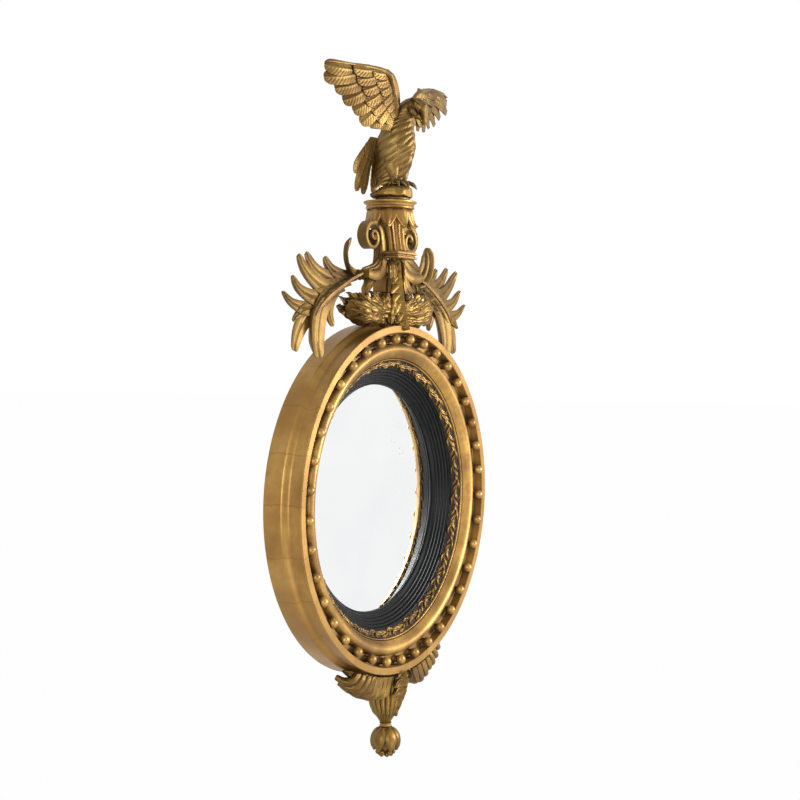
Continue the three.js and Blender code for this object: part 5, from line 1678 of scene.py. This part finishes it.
@dataclass
class Eagle:
    """The displayed eagle: trunk, legs and claws, raised wings and fanned tail.

    Attributes:
        origin: Place of the point between its feet, from which its other sizes are given.
        stations: The trunk from its foot to the brow: y and z of the middle, half width and depth.
        shank: Place of the right leg's shank.
        right_wing_forward: Degrees that the right wing leans forward.
        right_wing_droop: How far its middle hangs lower than the left wing's.
    """

    origin: Point = (0.0, -45.0, 525.1)
    stations: tuple[tuple[float, float, float, float], ...] = (
        (13, 2, 21, 17),
        (8, 18, 26, 27),
        (-2, 44, 30, 34),
        (-8, 70, 31, 35),
        (-13, 95, 28.5, 28.5),
        (-21, 115, 20.5, 20.5),
        (-31, 128, 16, 15.5),
        (-42, 132.5, 14.5, 13),
        (-52, 130.5, 13, 12.5),
        (-58.5, 123, 8.5, 9.5),
    )
    shank: Point = (15.5, -14.5, 8)
    right_wing_forward: float = 7.0
    right_wing_droop: float = 12.0

    def make(self) -> None:
        """Carves the bird."""
        self.make_body()
        self.make_wings()
        self.make_tail()

    def plumage(self, turn: float, t: float, columns: float, slant: float, reach: float) -> float:
        """Gives the height of overlapping feathers that sweep back and down from the breast.

        Args:
            turn: Angle round the body from its front, 0 to pi on both sides.
            t: Place along the body, 0 at its foot.
            columns: Feathers round half the body.
            slant: Feathers crossed from the foot to the top.
            reach: Feathers along one stroke from the front to the back.

        Returns:
            Height from 0 in the cuts to 1 on a feather's tip.
        """
        place = turn * columns / math.pi + slant * t + 0.3 * math.sin(2.7 * turn + 17 * t)
        column = math.floor(place)
        across = place - column
        tip = (turn * reach / math.pi + 0.37 * column + 0.12 * math.sin(2.4 * column)) % 1.0
        return abs(math.sin(math.pi * across)) ** 0.55 * (0.45 + 0.55 * tip)

    def trunk_feathers(self, turn: float, t: float) -> float:
        """Gives how far the trunk's face stands out, at an angle from its front and a place."""
        tall = 3.2 * min(1.0, 6 * t + 0.2) * min(1.0, max(0.16, 3.4 * (0.68 - t)))
        lift = self.plumage(turn, t, 6.5, 19, 3.2) * tall - tall
        return lift + 2.4 * bump_at(turn, 0, 0.5) * bump_at(t, 0.3, 0.35)

    def leg_feathers(self, turn: float, t: float) -> float:
        """Gives how far the leg's face stands out, at an angle from its front and a place."""
        return 1.4 * self.plumage(turn, 1 - t, 4, 8, 2.0) - 1.4

    def feathered(
        self,
        spine: Sequence[Point],
        wides: Sequence[float],
        deeps: Sequence[float],
        steps: int,
        around: int,
        lift: Callable[[float, float], float],
    ) -> Carving:
        """Skins a rounded body that is covered in feathers.

        Args:
            spine: Points that its middle goes through, in the plane of one x.
            wides: Half widths along it.
            deeps: Half depths along it.
            steps: Rings along it.
            around: Points round it.
            lift: Gives the feathers' height from the angle from the front and the place.

        Returns:
            The new carving.
        """
        up = 1 if spine[-1][2] > spine[0][2] else -1
        rings = []
        for i in range(steps + 1):
            t = i / steps
            out = heading(spine, t).cross(Vector((1, 0, 0))).normalized()
            ring = []
            for k in range(around):
                angle = 2 * math.pi * k / around
                turn = abs((angle + math.pi / 2 + math.pi) % (2 * math.pi) - math.pi)
                tall = lift(turn, t)
                wide, deep = between(wides, t) + tall, between(deeps, t) + tall
                spot = along(spine, t) + Vector((math.cos(angle) * wide, 0, 0))
                ring.append(spot + out * math.sin(angle) * deep * up)
            rings.append(ring)
        return Carving().skin(rings)

    def make_body(self) -> None:
        """Carves the trunk and head with their feathers, the beak, the eyes, legs and claws."""
        spine = [(0, y, z) for y, z, _, _ in self.stations]
        wides = [wide for _, _, wide, _ in self.stations]
        deeps = [deep for _, _, _, deep in self.stations]
        body = self.feathered(spine, wides, deeps, 170, 128, self.trunk_feathers)
        side = self.head_side().joined(self.leg())
        body.joined(side).joined(side.mirrored())
        beak = [(0, -49, 131), (0, -57, 129), (0, -63, 122), (0, -65, 112), (0, -62.5, 103)]
        body.rod([*beak, (0, -59, 98)], [8.5, 8, 7.2, 5.6, 3.4, 0.6], 24, 16, 1.25)
        body.rod([(0, -48, 116), (0, -54, 112), (0, -58, 107.5)], [6.5, 4.6, 1.2], 12, 14)
        body.limited((-33, -66.7, -6), (33, 30.3, 146))
        make_piece(body.moved(self.origin), "eagle_trunk", EAGLE_GILDING, ["eagle_body"], sharp=60)

    def head_side(self) -> Carving:
        """Gives the right side's brow, eye and nostril."""
        head = Carving()
        brow = [(8, -40, 142), (13, -48, 140.5), (12.8, -56, 136.5), (7, -62, 129)]
        head.rod(brow, [2, 3, 2.6, 1], 16, 10)
        eye = [(8, -51, 132.5), (12.8, -52, 134), (14.8, -52.3, 134.2)]
        head.rod(eye, [4.8, 4.4, 3.4, 0.4], 10, 14)
        head.rod([(6, -60.5, 124), (7, -62.5, 122.5)], [2.2, 1.6, 0.4], 4, 8)
        head.rod([(12, -40, 128), (12.5, -46, 121), (8, -52, 115)], [4, 6, 3], 12, 12)
        return head

    def leg(self) -> Carving:
        """Gives the right leg: a feathered thigh, a scaled shank and four clawed toes."""
        spine = [(12, -2, 44), (15, -9, 30), (15.5, -13, 16), (15.5, -14, 8)]
        wides, deeps = [15, 14, 10, 6, 4.6], [20, 17, 12, 7, 5]
        leg = self.feathered(spine, wides, deeps, 60, 48, self.leg_feathers)
        leg.rod([(15.5, -14, 10), (15.5, -14.5, 2)], [4.4, 4.8, 4.2], 10, 14, 1.0, 6, 0.15)
        x, y, _ = self.shank
        for turn, reach in ((-0.62, 22), (0.0, 25), (0.62, 22), (math.pi, 12)):
            spots = ((0, 5.5), (0.3, 7), (0.6, 5), (0.85, 1), (1, -4))
            toe = [
                (x + share * reach * math.sin(turn), y - share * reach * math.cos(turn), z)
                for share, z in spots
            ]
            leg.rod(toe, [3.6, 3.4, 3.9, 3.0, 3.4, 2.4, 1.6, 0.4], 20, 12)
        return leg

    def make_wings(self) -> None:
        """Carves the wings: a smooth leading edge and three rows of barbed feathers."""
        wing = Carving()
        shapes = ((5.0, 13.0, 11), (2.5, 10.8, 8), (1.5, 9.4, 6))
        for feathers, (bow, broad, barbs) in zip(WING_ROWS, shapes):
            for i, (root, tip) in enumerate(feathers):
                tip = [root[j] + (tip[j] - root[j]) * (0.97 + 0.06 * (i % 2)) for j in range(3)]
                middle = [(root[j] + tip[j]) / 2 for j in range(3)]
                middle[2] -= 2.5
                middle[1] -= bow
                half = broad * (1.0 if i < 6 else 0.9)
                wing.blade(
                    spine=[root, tuple(middle), tuple(tip)],
                    halves=[half * 0.7, half * 0.95, half, half, half * 0.9],
                    face=(0.25, -1, 0.12),
                    thick=3.4, edge=1.5, rib=1.1, fold=0.8, veins=barbs, vein_depth=0.42, slant=1.8,
                    tip=0.2, blunt=0.2, steps=66, across=20,
                )
        edge = [(16, -13, 108), (25, -20, 128), (30, -24, 150), (42, -24, 173), (62, -18, 182)]
        edge += [(92, -8, 184), (126, 2, 183.5), (158, 10, 182), (175, 15, 180.5)]
        wing.rod(edge, [8, 8.5, 8, 6.5, 4.6, 3.4, 2.6, 2.0, 1.0], 60, 20, 1.1)
        wing.limited((11.7, -29.5, 88), (179.8, 18.9, 188))
        make_side(wing.moved(self.origin), Side.LEFT, "eagle_wing", EAGLE_GILDING, "wing", 45)
        self.lower_right_wing(wing)
        make_side(wing.moved(self.origin), Side.RIGHT, "eagle_wing", EAGLE_GILDING, "wing", 45)

    def lower_right_wing(self, wing: Carving) -> None:
        """Leans the right wing forward and lets it down, flatter than the left one."""
        shoulder, waist = Vector((20, -15, 112)), 118
        forward = Matrix.Rotation(math.radians(-self.right_wing_forward), 3, "Z")
        for p in wing.points:
            p.z = waist - (waist - p.z) * 0.55 if p.z < waist else waist + (p.z - waist) * 0.94
            high = min(1.0, max(0.0, (p.z - shoulder.z) / 60))
            droop = self.right_wing_droop * bump_at(p.x, 45, 90) * high
            p[:] = forward @ (p - shoulder) + shoulder - Vector((0, 0, droop))

    def make_tail(self) -> None:
        """Carves the fan of seven tail feathers under a row of short ones."""
        tips = [(57, 38, 20), (52, 38, -10), (33, 37, -14), (0, 36, -14)]
        top = 86
        tail = Carving()
        for i, (x, y, z) in enumerate(tips):
            for sign in (1, -1) if x else (1,):
                root = (sign * (10 - 3 * i), 31 - i, top)
                middle = ((root[0] + sign * x) / 2 + sign, 34.5, (top + z) / 2)
                tail.blade(
                    spine=[root, middle, (sign * x, y, z)],
                    halves=[3, 5.5, 8.5, 10.5, 9.5],
                    thick=4, edge=1.6, rib=1.4, veins=12, vein_depth=0.7, tip=0.2, blunt=0.1,
                    steps=44, across=10,
                )
                upper, end = (root[0] + middle[0]) / 2, middle[2] + 8
                tail.blade(
                    spine=[root, (upper, 31, 68), (middle[0], 31.5, end)],
                    halves=[5, 8, 9, 8.5],
                    thick=4, rib=1.2, veins=6, vein_depth=0.6, tip=0.3,
                )
        tail.blade(
            spine=[(0, 29.5, 82), (0, 30.5, 40), (0, 31, 0)],
            halves=[8, 14, 15, 14],
            thick=4, rib=1.2, veins=9, vein_depth=0.6, steps=40, across=12,
        )
        tail.limited((-62.6, 28, -14), (62.6, 41, 84))
        make_piece(tail.moved(self.origin), "eagle_tail_fan", TAIL_GILDING, ["eagle_tail"], 45)


# ------------------------------------------------------------------ the apron


@dataclass
class Apron:
    """The carving under the case: a cup of leaf ribs, its leaves, and the bud that hangs below."""

    drum_r: float = 296.1
    axis_y: float = -39.0
    cup_top: float = -286.0
    cup_foot: float = -379.9
    neck_foot: float = -386.2
    bud_top: float = -386.5
    bud_foot: float = -438.5
    bud_r: float = 26.0
    petals: int = 6

    def make(self) -> None:
        """Carves the apron from the drum downwards."""
        self.make_cup()
        self.make_side_leaves()
        self.make_front_leaf()
        self.make_neck()
        self.make_bud()

    def make_cup(self) -> None:
        """Carves the cup of upright ribs, which pulls in to the neck."""
        spine = [(0, self.axis_y, self.cup_top), (0, self.axis_y, self.cup_foot)]
        radii = [36, 35.5, 35.5, 35.2, 35, 34.6, 33.4, 31, 26, 16.5, 9.8]
        cup = Carving().rod(spine, radii, 48, 160, 0.82, 20, 0.1)
        cup.roughened(14, 0.9).limited((-36, -68, -380), (36, -10, -250)).off_drum(self.drum_r, -1)
        make_piece(cup, "ribbed_cup", CARVED_GILDING, ["apron_calyx"])

    def make_side_leaves(self) -> None:
        """Carves the leaves that lie along the drum as rows of curled ribs with a split tip."""
        ribs, start_angle = 8, 0.1
        for side, first, spread in ((Side.RIGHT, 1, 1.0), (Side.LEFT, 0, 0.76)):
            leaf = Carving()
            for i in range(first, ribs):
                share = i / (ribs - 1)
                angle = start_angle + 0.36 * share * spread
                drop = between([33, 33, 34, 33, 31, 29, 26, 22], share) - 3.0 * (i % 3 == 1)
                bulge = between([30, 29, 28, 26, 22, 18], share)
                spots = ((-4, -bulge), (drop * 0.45, -bulge * 1.04), (drop * 0.88, -bulge * 0.84))
                spots += ((drop, -bulge * 0.3), (drop * 0.8, bulge * 0.35))
                rib = []
                for n, (far, y) in enumerate(spots):
                    turn = math.pi - angle - 0.02 * n
                    rib.append(tuple(turned_point(self.drum_r + far, self.axis_y + 3 + y, turn)))
                leaf.rod(rib, [6.4, 7.2, 7.4, 7.2, 6.2, 4.6], 28, 24, 1.0, 3, 0.14)
            for angle, far, wide in ((0.52, 16, 9), (0.56, 6, 8), (0.49, 25, 8), (0.46, 31, 7)):
                turn = math.pi - (start_angle + (angle - start_angle) * spread)
                line = ((14, -16, 0.12), (far + 3, -14, 0.05), (far, -2, -0.02))
                leaf.blade(
                    spine=[
                        tuple(turned_point(self.drum_r + out, self.axis_y + y, turn + more))
                        for out, y, more in line
                    ],
                    halves=[6, wide, wide * 0.8, 2],
                    face=(0.4, -1, -0.6),
                    thick=8, edge=2.0, rib=1.5, hollow=1.2, fold=2.5, strands=3, strand_depth=1.2,
                    steps=24, across=14,
                )
            leaf.roughened(11, 0.8).limited((17, -68, -331), (159, -9, -240))
            leaf.off_drum(self.drum_r, -1)
            make_side(leaf, side, "ribbed_side_leaf", CARVED_GILDING, "apron_leaf", 55)

    def make_front_leaf(self) -> None:
        """Carves the deeply notched leaf in front of the cup."""
        leaf = Carving().blade(
            spine=[(0, -77, -288), (0, -81, -302), (0, -77, -326), (0, -67, -348), (0, -58, -368)],
            halves=[14, 21, 24, 22, 17, 8],
            thick=7, edge=3, rib=3.0, hollow=4.0, fold=8, veins=5, vein_depth=1.3, slant=1.0,
            lobes=5, lobe_depth=0.5, strands=6, strand_depth=0.8, steps=90, across=20,
        )
        leaf.roughened(8, 1.2).limited((-24.1, -84, -368), (24.1, -50, -288))
        make_piece(leaf, "notched_apron_leaf", CARVED_GILDING, ["apron_front_leaf"])

    def make_neck(self) -> None:
        """Turns the short neck between the cup and the bud."""
        low, high = self.neck_foot, self.cup_foot - 0.3
        profile = [(ON_AXIS, low), (10.4, low), (10.7, low + 0.8), (10.0, low + 1.6)]
        profile += [(9.2, low + 3.0), (9.4, low + 4.4), (10.3, low + 5.2)]
        profile += [(10.6, high - 0.4), (10.2, high), (ON_AXIS, high)]
        neck = Carving().lathe(profile, 48, Vector((0, self.axis_y, 0)))
        make_piece(neck, "bud_neck", TURNED_GILDING, ["finial_neck"], sharp=35)

    def make_bud(self) -> None:
        """Carves the bud: six plump petals that open round a cluster of seeds."""
        top = self.bud_top
        core = [(0, self.axis_y, top - 1), (0, self.axis_y, top - 44)]
        bud = Carving().rod(core, [9, 15, 18.5, 19, 18, 15, 9], 20, 30)
        spots = ((8, -0.6), (16.5, -4.5), (23, -13), (25.6, -24), (24, -34), (19.5, -42))
        bud.leaf_ring(
            self.axis_y,
            [2 * math.pi * (i + 0.5) / self.petals for i in range(self.petals)],
            [(r, top + z) for r, z in spots],
            halves=[4.5, 8.5, 11, 11.6, 10, 6.6, 1.5],
            thick=5, edge=2.4, rib=0.5, hollow=-0.8, fold=4.2, tip=0.0, steps=34, across=14,
        )
        for count, r, z in ((7, 13.5, -43), (6, 9.5, -47), (1, 0, -48.4)):
            for i in range(count):
                angle = 2 * math.pi * (i + 0.3 * r / 9) / count
                spot = (r * math.sin(angle), self.axis_y - r * math.cos(angle), top + z)
                bud.ball(spot, 4.2 if count > 1 else 3.3, 12)
        r, y = self.bud_r, self.axis_y
        bud.limited((-r, y - r, self.bud_foot), (r, y + r, top))
        make_piece(bud, "petalled_bud", CARVED_GILDING, ["finial_bud"], sharp=50)


# ------------------------------------------------------------------ hidden hardware


@dataclass
class BackHardware:
    """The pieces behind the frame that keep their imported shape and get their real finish."""

    pine: tuple[str, ...] = ("backboard", "glazing_block")
    brass: tuple[str, ...] = ("hanger_plate", "hanger_ring")
    iron: tuple[str, ...] = ("crest_strap",)
    steel: tuple[str, ...] = ("backboard_screw", "hanger_screw", "strap_screw")

    def make(self) -> None:
        """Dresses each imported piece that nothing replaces."""
        choices = ((self.steel, STEEL), (self.pine, PINE), (self.brass, BRASS), (self.iron, IRON))
        for name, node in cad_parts.items():
            for starts, finish in choices:
                if name.startswith(starts):
                    self.dress(node, finish)
                    break

    def dress(self, node: bpy.types.Object, finish: Finish) -> None:
        """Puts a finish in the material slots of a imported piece."""
        if not node.material_slots:
            node.data.materials.append(None)
        for slot in node.material_slots:
            slot.material = finish.material()
        log.info("%s: packed shape, %s", node.name, finish.title)


# ------------------------------------------------------------------ studio and camera


def seen_directly(tree: bpy.types.NodeTree) -> Output:
    """Gives 1 to what is seen, also in a mirror or through glass, and 0 to what only lights."""
    rays = put(tree, "LightPath").outputs
    seen = reckon(tree, "MAXIMUM", rays["Is Camera Ray"], rays["Is Glossy Ray"])
    return reckon(tree, "MAXIMUM", seen, rays["Is Transmission Ray"])


@dataclass(frozen=True)
class Lamp:
    """One soft square lamp: where it hangs, where it points, its side and its power in watts."""

    name: str
    at: Point
    to: Point
    side: float
    power: float

    def make(self) -> None:
        """Hangs the lamp."""
        data = bpy.data.lights.new(self.name, "AREA")
        data.shape, data.size, data.energy = "SQUARE", self.side * MM, self.power
        lamp = put_in_scene(self.name, data)
        lamp.location = Vector(self.at) * MM
        ahead = (Vector(self.to) - Vector(self.at)).normalized()
        lamp.rotation_euler = ahead.to_track_quat("-Z", "Y").to_euler()


@dataclass
class Studio:
    """A plain pale floor, a white surround and soft lamps, with the camera at its place."""

    lamps: tuple[Lamp, ...] = (
        Lamp("key", (1300, -2300, 500), (0, 0, 80), 900.0, 98.0),
        Lamp("fill", (-2500, -1000, 300), (0, 0, 0), 1400.0, 38.0),
        Lamp("low_fill", (-300, -2300, -1100), (0, 0, -100), 1200.0, 16.0),
    )
    floor_z: float = -1600.0
    floor_half: float = 60000.0
    floor_glow: float = 0.985
    surround: float = 0.34
    lens: float = 65.31
    sensor: float = 36.0
    camera_at: Point = (-2075.0, -1342.2, 231.85)
    camera_right: Point = (0.52463, -0.85131, 0.00628)
    camera_up: Point = (0.01926, 0.01925, 0.99963)
    camera_ahead: Point = (0.85111, 0.52432, -0.02649)

    def make(self) -> None:
        """Sets up the floor, the surround, the lamps and the camera."""
        self.make_floor()
        self.make_surround()
        for lamp in self.lamps:
            lamp.make()
        self.make_camera()
        bpy.context.scene.view_settings.view_transform = "Standard"

    def make_floor(self) -> None:
        """Lays the pale floor, white to the camera and to reflections, with its soft shadow."""
        mesh = bpy.data.meshes.new("studio_floor")
        half, z = self.floor_half * MM, self.floor_z * MM
        corners = [(-half, -half, z), (half, -half, z), (half, half, z), (-half, half, z)]
        mesh.from_pydata(corners, [], [(0, 1, 2, 3)])
        floor = put_in_scene("studio_floor", mesh)
        made = bpy.data.materials.new("pale_studio_floor")
        tree = emptied(made)
        paint = put(tree, "BsdfDiffuse", {"Color": linear("#E9E8E4")})
        glow = put(tree, "Emission", {"Color": linear("#FFFFFF"), "Strength": 1.0})
        share = reckon(tree, "MULTIPLY", seen_directly(tree), self.floor_glow)
        mix = put(tree, "MixShader", {0: share, 1: paint.outputs[0], 2: glow.outputs[0]})
        put(tree, "OutputMaterial", {"Surface": mix.outputs[0]})
        mesh.materials.append(made)
        floor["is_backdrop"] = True

    def make_surround(self) -> None:
        """Makes the world white to the camera and to reflections, and dimmer as a lamp."""
        world = bpy.data.worlds.new("white_surround")
        bpy.context.scene.world = world
        tree = emptied(world)
        share = {"Value": seen_directly(tree), "To Min": self.surround, "To Max": 1.0}
        power = put(tree, "MapRange", share).outputs[0]
        back = put(tree, "Background", {"Color": linear("#FFFFFF"), "Strength": power})
        put(tree, "OutputWorld", {"Surface": back.outputs[0]})

    def make_camera(self) -> None:
        """Sets the camera at the photograph's viewpoint, found from the ellipses of the rings."""
        data = bpy.data.cameras.new("camera")
        data.lens, data.sensor_width = self.lens, self.sensor
        camera = put_in_scene("camera", data)
        right, up = Vector(self.camera_right), Vector(self.camera_up)
        turn = Matrix((right, up, -Vector(self.camera_ahead))).transposed()
        camera.matrix_world = Matrix.Translation(Vector(self.camera_at) * MM) @ turn.to_4x4()
        bpy.context.scene.camera = camera


# ------------------------------------------------------------------ the whole mirror


PARTS = (TurnedFrame, BackHardware, Crest, ScrollsAndSprays, Eagle, Apron)


def corners() -> list[list[float]]:
    """Gives the shown object's lowest and highest corner as plain numbers."""
    return [list(corner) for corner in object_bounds()]


def main() -> None:
    """Makes the studio and dresses every piece."""
    logging.basicConfig(level=logging.INFO, format="%(name)s %(message)s")
    noise.seed_set(SEED)
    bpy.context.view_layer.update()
    Studio().make()
    for part in PARTS:
        log.info("making %s", part.__name__)
        part().make()


if __name__ == "__main__":
    main()
